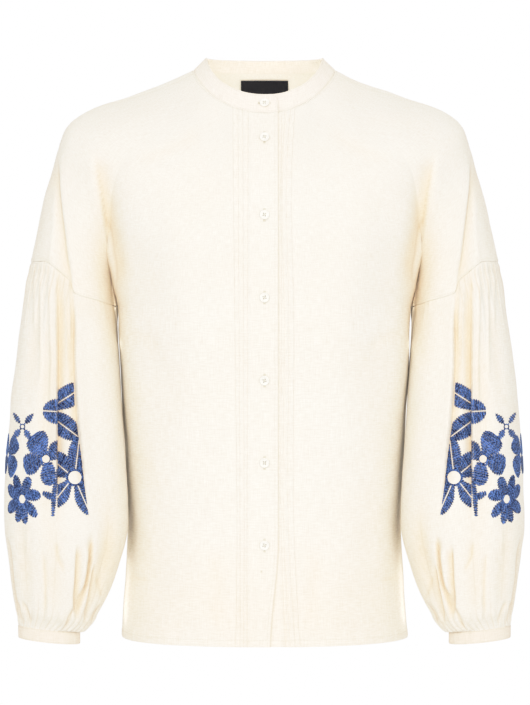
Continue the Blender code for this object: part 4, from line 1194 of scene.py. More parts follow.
def neck_label(surface):
    """The bare woven label inside the back, just below the collar."""
    half = LABEL_WIDTH / 2
    across = np.linspace(-half, half, LABEL_COLUMNS)
    rows = []
    for drop in np.linspace(LABEL_TOP + LABEL_HEIGHT, LABEL_TOP, LABEL_ROWS):
        level = 1 - drop / LABEL_DROP
        samples = np.linspace(2.4, 4.0, 321)
        ring = shoulder_point(np.full(samples.shape, level), samples)
        around = np.interp(-np.abs(across), -ring[:, 0], samples)
        points = shoulder_point(np.full(around.shape, level), around)
        out = parametric_normals(np.full(around.shape, level), around)
        points = points - (CLOTH + LABEL_CLEAR) * out
        points[:, 0] *= np.where(across < 0, -1, 1)
        out[:, 0] *= np.where(across < 0, -1, 1)
        rows.append((points, out))
    outer = np.stack([points for points, _ in rows])[:, ::-1]
    out = np.stack([normal for _, normal in rows])[:, ::-1]
    up = np.linspace(0, 1, LABEL_ROWS)[:, None]
    side = np.abs(np.linspace(-1, 1, LABEL_COLUMNS))[None]
    fold = 0.00035 * ease((side - 0.86) / 0.02) + 0.0002 * np.sin(3.0 * side + 2.0 * up)
    outer = outer - 0.0001 * out
    inner = outer - (LABEL_THICK - 0.0003 + fold)[..., None] * out
    cells = np.ones((LABEL_ROWS - 1, LABEL_COLUMNS - 1), bool)
    mesh = shell_mesh("neck_label_cloth", outer, inner, cells, cloth_place(outer))
    return add_piece("neck_label_cloth", mesh, surface, "neck_label")


def button_mesh(surface):
    """A four-hole shirt button with a raised rim, facing +Z, turned on its profile and pierced."""
    radius = BUTTON_WIDTH / 2
    turn = np.arange(BUTTON_SIDES) * 2 * math.pi / BUTTON_SIDES
    points = [(0.0, 0.0, 0.0)]
    for distance, height in BUTTON_PROFILE[1:-1]:
        out = distance * radius
        points += [(out * math.cos(t), out * math.sin(t), height * BUTTON_THICK) for t in turn]
    points.append((0.0, 0.0, BUTTON_PROFILE[-1][1] * BUTTON_THICK))
    faces = []
    rings = len(BUTTON_PROFILE) - 3
    for k in range(BUTTON_SIDES):
        after = (k + 1) % BUTTON_SIDES
        faces.append([0, 1 + after, 1 + k])
        for ring in range(rings):
            low, high = 1 + ring * BUTTON_SIDES, 1 + (ring + 1) * BUTTON_SIDES
            faces.append([low + k, low + after, high + after, high + k])
        last = 1 + rings * BUTTON_SIDES
        faces.append([last + k, last + after, len(points) - 1])
    blank = bpy.data.meshes.new("button_blank")
    blank.from_pydata(points, [], faces)
    body_piece = link_object("button_blank", blank)
    drills = []
    around = np.arange(HOLE_SIDES) * 2 * math.pi / HOLE_SIDES
    for x, y in ((1, 1), (1, -1), (-1, 1), (-1, -1)):
        drill_points = [
            (
                x * HOLE_OUT + HOLE_RADIUS * math.cos(t),
                y * HOLE_OUT + HOLE_RADIUS * math.sin(t),
                height * BUTTON_THICK,
            )
            for height in (-0.4, 1.4)
            for t in around
        ]
        after = [(k + 1) % HOLE_SIDES for k in range(HOLE_SIDES)]
        drill_faces = [[k, after[k], HOLE_SIDES + after[k], HOLE_SIDES + k] for k in range(HOLE_SIDES)]
        drill_faces += [list(range(HOLE_SIDES - 1, -1, -1)), list(range(HOLE_SIDES, 2 * HOLE_SIDES))]
        drill = bpy.data.meshes.new("drill")
        drill.from_pydata(drill_points, [], drill_faces)
        drills.append(link_object("drill", drill))
        cut = body_piece.modifiers.new("hole", "BOOLEAN")
        cut.operation = "DIFFERENCE"
        cut.solver = "EXACT"
        cut.object = drills[-1]
    bpy.context.view_layer.update()
    evaluated = body_piece.evaluated_get(bpy.context.evaluated_depsgraph_get())
    pierced = bpy.data.meshes.new_from_object(evaluated)
    for made in [body_piece] + drills:
        bpy.data.objects.remove(made, do_unlink=True)
    pierced.name = "shirt_button"
    pierced.materials.clear()
    pierced.materials.append(surface)
    pierced.shade_smooth()
    pierced.set_sharp_from_angle(angle=math.radians(32))
    return pierced


def front_seat(height):
    """Where a button sits on the upper front and the way it faces."""
    levels = np.linspace(0, 1, 401)
    level = float(np.interp(height, shoulder_point(levels, 0.0 * levels)[:, 2], levels))
    row = np.array(level if height > UNDERARM_Z else height)
    facing = parametric_normals(row, np.array(0.0))
    return garment_point(row, np.array(0.0)) + BUTTON_SEAT * facing, facing


def collar_seat():
    """The same for the button on the collar band."""
    angle, up = 2 * math.pi, COLLAR_BUTTON_UP

    def place(turned, raised):
        return band_point(np.array(angle + turned), np.array(up + raised))

    along = place(0.0, 0.05) - place(0.0, -0.05)
    around = place(0.02, 0.0) - place(-0.02, 0.0)
    facing = unit(np.cross(around, along))
    return place(0.0, 0.0) + BUTTON_SEAT * facing, facing


def button_twist(number):
    """How far each button is turned about its own middle, in radians."""
    return 0.35 * math.sin(5.0 * number)


def seat_frame(seat, facing, twist):
    """The turned frame of something that sits flat on the cloth: right, up and outward columns."""
    facing = np.asarray(facing, float)
    right = unit(np.cross((0.0, 0.0, 1.0), facing))
    up = np.cross(facing, right)
    turned = np.stack([
        math.cos(twist) * right + math.sin(twist) * up,
        -math.sin(twist) * right + math.cos(twist) * up,
        facing,
    ], axis=-1)
    return turned, np.asarray(seat, float)


# Threads and embroidery
def thread_mesh(name, strands, surface, end_shade=0.0):
    """Many short rounded threads as one mesh. A strand is its points, their normals, its width, its
    height and its tone. end_shade is painted shade taken off the tone at both ends of each strand."""
    points, quads, places, tones = [], [], [], []
    across = ((-0.5, -0.12), (-0.30, 0.80), (0.30, 0.80), (0.5, -0.12))
    count = 0
    for line, normals, width, height, tone in strands:
        stations = len(line)
        ahead = unit(np.gradient(line, axis=0))
        sideways = unit(np.cross(ahead, normals))
        taper = np.ones(stations)
        taper[0] = taper[-1] = 0.35
        narrow = np.ones(stations)
        narrow[0] = narrow[-1] = 0.7
        for out, up in across:
            lift = np.where(up > 0, up * height * taper, up * height)
            points.append(line + sideways * (out * width * narrow)[:, None] + normals * lift[:, None])
        run = run_of(step_lengths(line))
        for k in range(len(across) - 1):
            for station in range(stations - 1):
                a, b = count + k * stations + station, count + (k + 1) * stations + station
                quads.append((a, b, b + 1, a + 1))
                here, ahead_of = run[station], run[station + 1]
                places += [(here, k / 3), (here, (k + 1) / 3), (ahead_of, (k + 1) / 3), (ahead_of, k / 3)]
        shades = np.full(stations, tone)
        shades[0] = shades[-1] = tone - end_shade
        tones += list(np.tile(shades, len(across)))
        count += stations * len(across)
    mesh = quad_mesh(name, np.concatenate(points), np.array(quads))
    layer = mesh.uv_layers.new(name="thread_place")
    layer.data.foreach_set("uv", np.array(places, np.float32).ravel())
    tone_layer = mesh.attributes.new("tone", "FLOAT", "POINT")
    tone_layer.data.foreach_set("value", np.array(tones, np.float32))
    return add_piece(name, mesh, surface)


def run_of_stitches(line, normals, length=0.0026, gap=0.0007, width=0.00042, height=0.00026):
    """Top stitching along a line on the cloth."""
    run = run_of(step_lengths(line))
    strands = []
    for start in np.arange(gap, run[-1] - length, length + gap):
        at = start + length * np.array([0.0, 0.5, 1.0])
        place = np.stack([np.interp(at, run, line[:, k]) for k in range(3)], axis=-1)
        facing = unit(np.stack([np.interp(at, run, normals[:, k]) for k in range(3)], axis=-1))
        strands.append((place, facing, width, height, 0.5))
    return strands


def sleeve_reader(points, normals, side):
    """Returns a function that puts (across, up) millimetres, as seen from the front, on the sleeve,
    and one that puts cloth distances from a place on it."""
    across, up = seen_from(points, -1)
    showing = normals[..., 1] < -0.05
    rows, columns = np.nonzero(showing)
    tree = kdtree.KDTree(len(rows))
    for k, (r, c) in enumerate(zip(rows, columns)):
        tree.insert((across[r, c], up[r, c], 0.0), k)
    tree.balance()
    total = points.shape[1]

    def grid_place(x, z):
        """Row and column, with their fractions, of a place seen from the front."""
        _, k, _ = tree.find((x, z, 0.0))
        r, c = int(rows[k]), int(columns[k])
        low_r, high_r = max(r - 1, 0), min(r + 1, len(points) - 1)
        left, right = (c - 1) % total, (c + 1) % total
        down_x, down_z = (across[high_r, c] - across[low_r, c]) / 2, (up[high_r, c] - up[low_r, c]) / 2
        side_x, side_z = (across[r, right] - across[r, left]) / 2, (up[r, right] - up[r, left]) / 2
        off_x, off_z = x - across[r, c], z - up[r, c]
        spread_of = down_x * side_z - down_z * side_x
        if abs(spread_of) < 1e-9:
            return float(r), float(c)
        row_off = (off_x * side_z - off_z * side_x) / spread_of
        column_off = (down_x * off_z - down_z * off_x) / spread_of
        return r + float(np.clip(row_off, -1, 1)), c + float(np.clip(column_off, -1.5, 1.5))

    def on_cloth(row, column):
        """Points and normals at grid places, between the grid's own."""
        row = np.clip(row, 0, len(points) - 1.001)
        r, c = np.floor(row).astype(int), np.floor(column).astype(int)
        a, b = (row - r)[:, None], (column - c)[:, None]
        left, right = c % total, (c + 1) % total
        found = []
        for grid in (points, normals):
            low = grid[r, left] * (1 - b) + grid[r, right] * b
            high = grid[r + 1, left] * (1 - b) + grid[r + 1, right] * b
            found.append(low * (1 - a) + high * a)
        place, facing = found[0], unit(found[1])
        if side < 0:
            place, facing = mirrored(place), mirrored(facing)
        return place, facing

    return grid_place, on_cloth


# Embroidery, in millimetres out from the centre and up from the collar points as seen from the
# front. A petal or leaf has its base, its tip, its width, its form, whether a bare vein runs down
# its middle, how far its stitches slant, and the strip of cloth it shows on.
OUTER_STRIP, MIDDLE_STRIP, ANY_STRIP = "outer", "middle", "any"
FOLD_LINE = ((-360, 237.9), (-440, 237.9), (-500, 238.2), (-530, 238.4))
HOLLOW_EDGE = ((-350, 219.8), (-362, 219.0), (-390, 217.6), (-412, 214.7), (-440, 210.7), (-475, 206.9),
               (-506, 202.4), (-530, 199))
# Forms: width at the base, where it is widest, the tip's share and how blunt the tip is
POINTED, FULL, FAN, ROUND, SLIM = "pointed", "full", "fan", "round", "slim"
FORMS = {
    POINTED: (0.15, 0.48, 0.52, 1.25),
    FULL: (0.45, 0.42, 0.52, 1.7),
    FAN: (0.42, 0.56, 0.32, 3.0),
    ROUND: (0.58, 0.50, 0.48, 2.2),
    SLIM: (0.30, 0.50, 0.50, 1.5),
}
LEAVES = (
    # the pair of big leaves at the top
    ((247, -387), (205, -360), 26.0, FULL, True, 3.0, MIDDLE_STRIP),
    ((222, -391.5), (254.6, -389.6), 29.0, FULL, True, 2.0, OUTER_STRIP),
    ((252, -391), (212.8, -420.6), 26.0, FULL, True, 3.0, MIDDLE_STRIP),
    # the star flower's petals
    ((217.6, -461.0), (212.8, -419.8), 22.0, FULL, True, 3.0, MIDDLE_STRIP),
    ((222, -464), (250, -441), 29.0, FULL, True, 2.5, MIDDLE_STRIP),
    ((223.6, -471.0), (246.5, -500), 22.5, FULL, True, 2.5, MIDDLE_STRIP),
    ((216.4, -471.6), (200.2, -508.6), 19.5, FULL, True, 3.0, MIDDLE_STRIP),
    ((213.6, -468), (184, -478), 24.0, FULL, False, 2.0, MIDDLE_STRIP),
    ((214, -462), (190, -440), 24.0, FULL, False, 2.0, MIDDLE_STRIP),
    # the four-petal flower beside the fold
    ((253.2, -441.0), (265.4, -416.8), 27.0, FAN, False, 5.0, OUTER_STRIP),
    ((255.4, -446.4), (277.0, -453.6), 24.5, FAN, False, -3.0, OUTER_STRIP),
    ((249.8, -449.8), (246.2, -475.6), 20.0, ROUND, False, 2.0, OUTER_STRIP),
    ((248.4, -443.6), (228.0, -430.0), 24.0, FAN, False, 3.0, OUTER_STRIP),
    # the small leaf and the narrow upright one near the fold
    ((255.2, -484.0), (241.6, -490.2), 8.4, ROUND, False, 1.4, OUTER_STRIP),
    ((243.4, -511.0), (240.6, -469.0), 6.2, ROUND, False, 1.0, OUTER_STRIP),
    ((239.8, -484.0), (238.6, -455.0), 3.2, SLIM, False, 0.6, OUTER_STRIP),
    # the small cross flower
    ((279.8, -406.0), (289.4, -391.0), 6.0, POINTED, False, 1.0, ANY_STRIP),
    ((276.6, -405.8), (265.4, -392.6), 7.4, POINTED, False, -1.0, ANY_STRIP),
    ((279.6, -409.4), (289.8, -422.4), 7.6, POINTED, False, -1.0, ANY_STRIP),
    ((276.8, -409.6), (268.6, -423.4), 7.8, POINTED, False, 1.0, ANY_STRIP),
)
# Flowers that wrap round the sleeve's outer side, laid out on the cloth: centre, bare middle's
# radius, form, slant, then each petal's angle, length and width
FLOWERS = (
    ((278.6, -491.2), 4.8, ROUND, 2.0, (
        (22, 31.0, 14.2), (62, 29.0, 13.2), (111, 27.8, 13.0), (157, 27.0, 13.2),
        (217, 26.4, 13.0), (260, 28.0, 12.0), (288, 28.0, 12.0), (332, 32.4, 14.2),
    )),
    ((294.6, -440.6), 3.0, FAN, 3.0, (
        (46, 26.0, 22.5), (138, 27.5, 23.0), (221, 28.0, 23.5), (315, 25.0, 22.5),
    )),
)
# Bare middles: centre, radius and the ring of short stitches round them
RING_MIDDLES = (
    ((218.0, -466.4), 7.6, 2.4, MIDDLE_STRIP),
    ((251.4, -445.0), 4.4, 1.2, OUTER_STRIP),
    ((278.2, -407.8), 2.0, 1.4, ANY_STRIP),
)
BUNDLE = 4  # stitches that lie close together before a small gap
STITCH_STEP = 0.64
STATION_STEP = 2.2  # millimetres between the points where a stitch meets the cloth
BUNDLE_GAP = 0.22
STITCH_WIDTH = 0.00074
STITCH_HEIGHT = 0.00062
VEIN = 0.55
ROUND_ENDS = (-0.45, 0.45, 0.45, -0.45)  # how much longer each stitch of a bundle is at its ends
PETAL_TONE = (0.42, 0.58)
BUNDLE_TONE = 0.16
STITCH_TONE = 0.22
# painted shade on the stitches beside each bundle's gap
BUNDLE_EDGE_SHADE = 0.16
CLIP_POINTS = 85
CLIP_MARGIN = 0.05


def petal_outline(t, form):
    """How wide a petal is at a share of its length, as a share of its full width."""
    base, widest, tip, sharp = FORMS[form]
    swell = base + (1 - base) * float(ease(t / widest))
    into_tip = min(max((t - (1 - tip)) / tip, 0.0), 1.0)
    return swell * (1 - into_tip**sharp) ** (0.5 if sharp > 1.6 else 0.75)


def petal_stitches(base, tip, width, form, vein, slant, rng):
    """Satin stitches across one petal or leaf, as pairs of ends in millimetres, with their tones,
    which carry painted shade beside each bundle's gap.
    """
    base, tip = np.array(base, float), np.array(tip, float)
    length = np.linalg.norm(tip - base)
    ahead = (tip - base) / length
    left = np.array([-ahead[1], ahead[0]])
    stitches = []
    tone = rng.uniform(*PETAL_TONE)
    s, number = 0.3, 0
    while s < length:
        half = width / 2 * petal_outline(s / length, form)
        in_bundle = number % BUNDLE
        if in_bundle == 0:
            bundle_tone = tone + rng.uniform(-BUNDLE_TONE, BUNDLE_TONE)
        if half > 0.35:
            round_end = ROUND_ENDS[in_bundle]
            half = max(half + min(round_end, 0.3 * half) + rng.uniform(-0.15, 0.15), 0.3)
            lean = slant * half / (width / 2)
            middle = base + ahead * s
            bundle_edge_shade = BUNDLE_EDGE_SHADE if in_bundle in (0, BUNDLE - 1) else 0.0
            shade = bundle_tone + rng.uniform(-STITCH_TONE, STITCH_TONE) - bundle_edge_shade
            if vein and half > 1.4:
                gap = VEIN * min(1.0, half / 4)
                for turn in (-1, 1):
                    inner = middle + left * turn * gap
                    outer = middle + left * turn * half + ahead * lean
                    stitches.append((inner, outer, shade + rng.uniform(-0.08, 0.08)))
            else:
                start = middle - left * half - ahead * lean / 2
                end = middle + left * half + ahead * lean / 2
                stitches.append((start, end, shade))
        number += 1
        s += STITCH_STEP + (BUNDLE_GAP if number % BUNDLE == 0 else 0.0)
    return stitches


def clipped(start, end, strip):
    """The part of a stitch that lies on its own strip of cloth, between the sleeve's folds."""
    if strip == ANY_STRIP:
        return start, end
    t = np.linspace(0, 1, CLIP_POINTS)
    line = start[None] + (end - start)[None] * t[:, None]
    fold = np.array(FOLD_LINE)[::-1]
    hollow = np.array(HOLLOW_EDGE)[::-1]
    fold_x = np.interp(line[:, 1], fold[:, 0], fold[:, 1])
    hollow_x = np.interp(line[:, 1], hollow[:, 0], hollow[:, 1])
    if strip == OUTER_STRIP:
        kept = line[:, 0] > fold_x - CLIP_MARGIN
    else:
        kept = (line[:, 0] < fold_x + CLIP_MARGIN) & (line[:, 0] > hollow_x + 0.2)
    if kept.sum() < 8:
        return None
    chosen = np.nonzero(kept)[0]
    return line[chosen[0]], line[chosen[-1]]


def ring_stitches(centre, radius, ring, rng):
    """Short stitches out from a flower's bare middle."""
    stitches = []
    for turn in np.arange(0, 2 * math.pi, STITCH_STEP / (radius + 0.5 * ring)):
        out = np.array([math.cos(turn), math.sin(turn)])
        length = ring * rng.uniform(0.85, 1.1)
        stitches.append((np.array(centre) + out * radius, np.array(centre) + out * (radius + length), 0.5))
    return stitches


def off_middle(stitch):
    """Trims a stitch that would cross the bare middle of a flower."""
    start, end, tone = stitch
    for centre, radius, _, _ in RING_MIDDLES:
        t = np.linspace(0, 1, 25)
        line = start[None] + (end - start)[None] * t[:, None]
        kept = np.linalg.norm(line - np.array(centre)[None], axis=1) > radius
        if not kept.all():
            if kept.sum() < 4:
                return None
            runs = np.split(np.arange(25), np.nonzero(np.diff(kept.astype(int)))[0] + 1)
            best = max((run for run in runs if kept[run[0]]), key=len)
            start, end = line[best[0]], line[best[-1]]
    return start, end, tone


def embroidery(name, points, normals, side, surface):
    """All the blue flowers and leaves of one sleeve as one mesh of satin stitches."""
    rng = np.random.default_rng(7)
    grid_place, on_cloth = sleeve_reader(points, normals, side)
    strands = []

    def lay(rows, columns, tone):
        place, facing = on_cloth(np.array(rows), np.array(columns))
        strands.append((place, facing, STITCH_WIDTH, STITCH_HEIGHT, tone))

    def stations(start, end):
        return np.linspace(0, 1, max(3, int(np.linalg.norm(end - start) / STATION_STEP) + 2))

    def sew_seen(start, end, tone):
        found = [grid_place(*(start + (end - start) * t)) for t in stations(start, end)]
        lay([r for r, _ in found], [c for _, c in found], tone)

    for base, tip, width, form, vein, slant, strip in LEAVES:
        for stitch in petal_stitches(base, tip, width, form, vein, slant, rng):
            stitch = off_middle(stitch)
            kept = clipped(stitch[0], stitch[1], strip) if stitch else None
            if kept:
                sew_seen(kept[0], kept[1], stitch[2])
    for centre, radius, ring, strip in RING_MIDDLES:
        for start, end, tone in ring_stitches(centre, radius, ring, rng):
            kept = clipped(start, end, strip)
            if kept:
                sew_seen(kept[0], kept[1], tone)
    for centre, middle, form, slant, petals in FLOWERS:
        row, column = grid_place(*centre)
        r, c = int(round(row)), int(round(column))
        columns_near = np.arange(c - 60, c + 61)
        ring = points[r, columns_near % points.shape[1]]
        run = 1000 * run_of(step_lengths(ring))
        run = run - np.interp(column, columns_near, run)
        per_row = 1000 * np.linalg.norm(points[r + 3, c] - points[r - 3, c]) / 6
        for turned, length, width in petals:
            out = np.array([math.cos(math.radians(turned)), math.sin(math.radians(turned))])
            stitches = petal_stitches(out * middle, out * length, width, form, False, slant, rng)
            for start, end, tone in stitches:
                line = start[None] + (end - start)[None] * stations(start, end)[:, None]
                lay(row - line[:, 1] / per_row, np.interp(line[:, 0], run, columns_near), tone)
    # painted shade at both ends of every stitch, which darkens the edges of each petal
    return thread_mesh(name, strands, surface, 0.30)


def button_work(seats, cream):
    """Buttonholes, the bar tack below the last one, and the crossed thread that holds each button."""
    strands, crosses = [], []

    def thread(held, ends, width, height, tone):
        turned, origin = held
        line = origin + np.array(ends) @ turned.T
        return line, np.repeat(turned[None, :, 2], len(ends), axis=0), width, height, tone

    hole = HOLE_OUT
    sunk, top = 0.2 * BUTTON_THICK, 0.66 * BUTTON_THICK
    for number, (seat, facing) in enumerate(seats):
        turned, origin = seat_frame(seat, facing, math.pi / 2 if number == 0 else 0.0)
        cloth = turned, origin - BUTTON_SEAT * turned[:, 2]
        for along in np.arange(-BUTTONHOLE_HALF, BUTTONHOLE_HALF, BUTTONHOLE_STEP):
            for side in (-1, 1):
                ends = [(side * across, along, 0.0) for across in (0.00018, 0.0006, 0.00125)]
                strands.append(thread(cloth, ends, 0.0004, 0.00028, 0.35))
        for end in (-BUTTONHOLE_HALF, BUTTONHOLE_HALF):
            ends = [(across, end, 0.0) for across in (-0.0014, 0.0, 0.0014)]
            strands.append(thread(cloth, ends, 0.0009, 0.0004, 0.35))
        turned, origin = seat_frame(seat, facing, button_twist(number))
        for x, y in ((1, 1), (1, -1)):
            for shift in (-0.00022, 0.0, 0.00022):
                away = np.array([-y, x]) / math.sqrt(2) * shift
                ends = np.array([
                    (-x * hole, -y * hole, sunk),
                    (-x * hole * 0.8, -y * hole * 0.8, top),
                    (0.0, 0.0, top + 0.0003),
                    (x * hole * 0.8, y * hole * 0.8, top),
                    (x * hole, y * hole, sunk),
                ])
                crosses.append(thread((turned, origin), ends + np.append(away, 0.0), 0.0003, 0.0002, 0.6))
    tack = seat_frame(*front_seat(BAR_TACK_Z), 0.0)
    for up in np.arange(-0.0012, 0.0012, 0.0004):
        ends = [(across, up, -BUTTON_SEAT) for across in BAR_TACK]
        strands.append(thread(tack, ends, 0.0004, 0.0003, 0.4))
    buttonholes = thread_mesh("buttonholes", strands, cream)
    return buttonholes, thread_mesh("button_threads", crosses, cream)


def seam_stitching(cream, fronts, back, cuffs, band):
    """Top stitching: placket edges, hem, neck, shoulder and armhole seams, cuffs and band."""
    strands = []
    below = len(panel_rows()[0])

    def sew(grids, *where):
        for place in where:
            strands.extend(run_of_stitches(grids[0][place], grids[1][place]))

    for side, (points, normals) in fronts.items():
        if side < 0:
            points, normals = points[:, ::-1], normals[:, ::-1]
        width = points.shape[1]
        hem = hem_row(points, 30)
        underarm = len(PLACKET_EDGE) + PLACKET_COLUMNS + 4 * len(TUCK_PROFILE) + SIDE_COLUMNS - 2
        sew((points, normals), np.s_[:, 4], np.s_[hem, : underarm - 1], np.s_[-3, 4:],
            np.s_[below:, width - 3], np.s_[below + 2, underarm + 4 :])
    middle = back[0].shape[1] // 2
    cap = (back[0].shape[1] - 1) // 2 - BACK_COLUMNS
    sew(back, np.s_[hem_row(back[0], middle), cap + 2 : -cap - 2], np.s_[-3],
        np.s_[below + 2, 2 : cap - 4], np.s_[below + 2, -cap + 4 : -2])
    for side, (points, normals) in cuffs.items():
        grids = (mirrored(points), mirrored(normals)) if side < 0 else (points, normals)
        sew(grids, 3, len(points) - 4)
    sew(band, np.s_[3, 3:-3], np.s_[len(band[0]) - 4, 3:-3], np.s_[3:-3, -4])
    return thread_mesh("top_stitching", strands, cream)


# Materials
def paint(colour):
    """A colour given as a painter would mix it, 0 to 255, for a shader."""
    shares = [value / 255 for value in colour]
    linear = [share / 12.92 if share <= 0.04 else ((share + 0.055) / 1.055) ** 2.4 for share in shares]
    return (*linear, 1.0)


def feed(tree, socket, value):
    """Links a socket to another node's output, or gives it a plain value."""
    if isinstance(value, bpy.types.NodeSocket):
        tree.links.new(value, socket)
    else:
        socket.default_value = value


def put(tree, kind, **inputs):
    """Adds a node and sets its named inputs, from plain values or other nodes' outputs."""
    node = tree.nodes.new(kind)
    for name, value in inputs.items():
        key = int(name[1:]) if name[0] == "_" else name.replace("_", " ")
        feed(tree, node.inputs[key], value)
    return node


def math_node(tree, operation, *values):
    node = tree.nodes.new("ShaderNodeMath")
    node.operation = operation
    for socket, value in zip(node.inputs, values):
        feed(tree, socket, value)
    return node.outputs[0]


def colour_between(tree, share, first, second):
    """The colour between two, by a share from 0 to 1."""
    mix = tree.nodes.new("ShaderNodeMix")
    mix.data_type = "RGBA"
    for socket, value in zip((mix.inputs["Factor"], mix.inputs[6], mix.inputs[7]), (share, first, second)):
        feed(tree, socket, value)
    return mix.outputs[2]


def read_value(tree, word):
    """One of the values that the mesh carries for its material."""
    node = tree.nodes.new("ShaderNodeAttribute")
    node.attribute_name = word
    return node.outputs["Fac"]


def read_place(tree, layer):
    """The cloth's or the thread's own coordinates, in metres."""
    node = tree.nodes.new("ShaderNodeUVMap")
    node.uv_map = layer
    return node.outputs["UV"]


def new_group(name, inputs, outputs):
    tree = bpy.data.node_groups.new(name, "ShaderNodeTree")
    for label, kind, value in inputs:
        socket = tree.interface.new_socket(name=label, in_out="INPUT", socket_type=kind)
        if value is not None:
            socket.default_value = value
    for label, kind in outputs:
        tree.interface.new_socket(name=label, in_out="OUTPUT", socket_type=kind)
    return tree, tree.nodes.new("NodeGroupInput").outputs, tree.nodes.new("NodeGroupOutput").inputs


def weave_group():
    """Plain weave with slubs. Height is for a bump, and Tone is 0 to 1 along the threads."""
    tree, given, wanted = new_group(
        "plain_weave",
        [("Place", "NodeSocketVector", None), ("Thread", "NodeSocketFloat", 0.00055),
         ("Slub", "NodeSocketFloat", 0.5)],
        [("Height", "NodeSocketFloat"), ("Tone", "NodeSocketFloat")],
    )
    parts = put(tree, "ShaderNodeSeparateXYZ", Vector=given["Place"])
    waves = []
    for axis in ("X", "Y"):
        turns = math_node(tree, "DIVIDE", parts.outputs[axis], given["Thread"])
        waves.append(math_node(tree, "SINE", math_node(tree, "MULTIPLY", turns, math.pi)))
    over = math_node(tree, "MULTIPLY", waves[0], waves[1])
    ridges = [math_node(tree, "ABSOLUTE", wave) for wave in waves]
    warp = math_node(tree, "MULTIPLY", ridges[0], math_node(tree, "MULTIPLY_ADD", over, 0.45, 0.55))
    weft = math_node(tree, "MULTIPLY", ridges[1], math_node(tree, "MULTIPLY_ADD", over, -0.45, 0.55))
    threads = math_node(tree, "MAXIMUM", warp, weft)
    streaks = []
    for stretch in SLUB_STRETCH:
        scaled = put(tree, "ShaderNodeVectorMath", _0=given["Place"], _1=stretch)
        scaled.operation = "MULTIPLY"
        place = scaled.outputs[0]
        noise = put(tree, "ShaderNodeTexNoise", Vector=place, Scale=1.0, Detail=3.0, Roughness=0.6)
        streaks.append(noise.outputs["Fac"])
    both = math_node(tree, "ADD", streaks[0], streaks[1])
    tone = math_node(tree, "MULTIPLY", both, 0.5)
    slub = math_node(tree, "MULTIPLY", tone, given["Slub"])
    height = math_node(tree, "ADD", math_node(tree, "MULTIPLY", threads, 0.6), slub)
    tree.links.new(height, wanted["Height"])
    tree.links.new(tone, wanted["Tone"])
    return tree


def painted_shade_group():
    """Cloth colour with painted warm shade in hollows, which also varies softly over the whole piece."""
    tree, given, wanted = new_group(
        "painted_hollow_shade",
        [("Colour", "NodeSocketColor", None), ("Deep Colour", "NodeSocketColor", None),
         ("Hollow", "NodeSocketFloat", 0.0), ("Tone", "NodeSocketFloat", 0.5),
         ("Depth", "NodeSocketFloat", 0.5)],
        [("Colour", "NodeSocketColor")],
    )
    position = tree.nodes.new("ShaderNodeNewGeometry").outputs["Position"]
    cloud = put(tree, "ShaderNodeTexNoise", Vector=position, Scale=14.0, Detail=2.0)
    drift = math_node(tree, "MULTIPLY_ADD", cloud.outputs["Fac"], 0.25, -0.08)
    grain = math_node(tree, "MULTIPLY_ADD", given["Tone"], 1.2, -0.42)
    hollow_shade = math_node(tree, "MULTIPLY", given["Hollow"], given["Depth"])
    share = math_node(tree, "ADD", math_node(tree, "ADD", drift, grain), hollow_shade)
    limited = tree.nodes.new("ShaderNodeClamp")
    tree.links.new(share, limited.inputs[0])
    mixed = colour_between(tree, limited.outputs[0], given["Colour"], given["Deep Colour"])
    grained = put(tree, "ShaderNodeVectorMath", _0=mixed)
    grained.operation = "SCALE"
    scale = math_node(tree, "MULTIPLY_ADD", given["Tone"], GRAIN, 1 - 0.5 * GRAIN)
    tree.links.new(scale, grained.inputs["Scale"])
    tree.links.new(grained.outputs[0], wanted["Colour"])
    return tree


def new_material(name):
    made = bpy.data.materials.new(name)
    made.use_nodes = True
    tree = made.node_tree
    return made, tree, tree.nodes["Principled BSDF"]


def finish_material(made, tree, shader, looks):
    for name, value in looks.items():
        feed(tree, shader.inputs[name], value)
    return made


def place_group(tree, group, **inputs):
    node = tree.nodes.new("ShaderNodeGroup")
    node.node_tree = group
    for name, value in inputs.items():
        feed(tree, node.inputs[name.replace("_", " ")], value)
    return node


def cloth_material(name, groups):
    """Woven cloth with its weave, painted warm shade in its hollows and painted shade along sharp folds."""
    colour, hollow_shade, thread, slub, depth, bump = CLOTH_LOOKS[name]
    made, tree, shader = new_material(name)
    place = read_place(tree, "cloth_place")
    weave = place_group(tree, groups["weave"], Place=place, Thread=thread, Slub=slub)
    shade = place_group(tree, groups["warm"], Colour=paint(colour), Deep_Colour=paint(hollow_shade), Depth=depth,
                        Hollow=read_value(tree, "hollow"), Tone=weave.outputs["Tone"])
    raised = put(tree, "ShaderNodeBump", Strength=bump, Distance=0.0003, Height=weave.outputs["Height"])
    fold_shading = math_node(tree, "MULTIPLY", read_value(tree, "fold_shade"), FOLD_SHADE_SHARE)
    looks = {
        "Base Color": colour_between(tree, fold_shading, shade.outputs["Colour"], paint(FOLD_SHADE_COLOUR)),
        "Normal": raised.outputs["Normal"],
        "Roughness": math_node(tree, "MULTIPLY_ADD", weave.outputs["Tone"], 0.2, 0.72),
        "Specular IOR Level": 0.18,
    }
    return finish_material(made, tree, shader, looks)


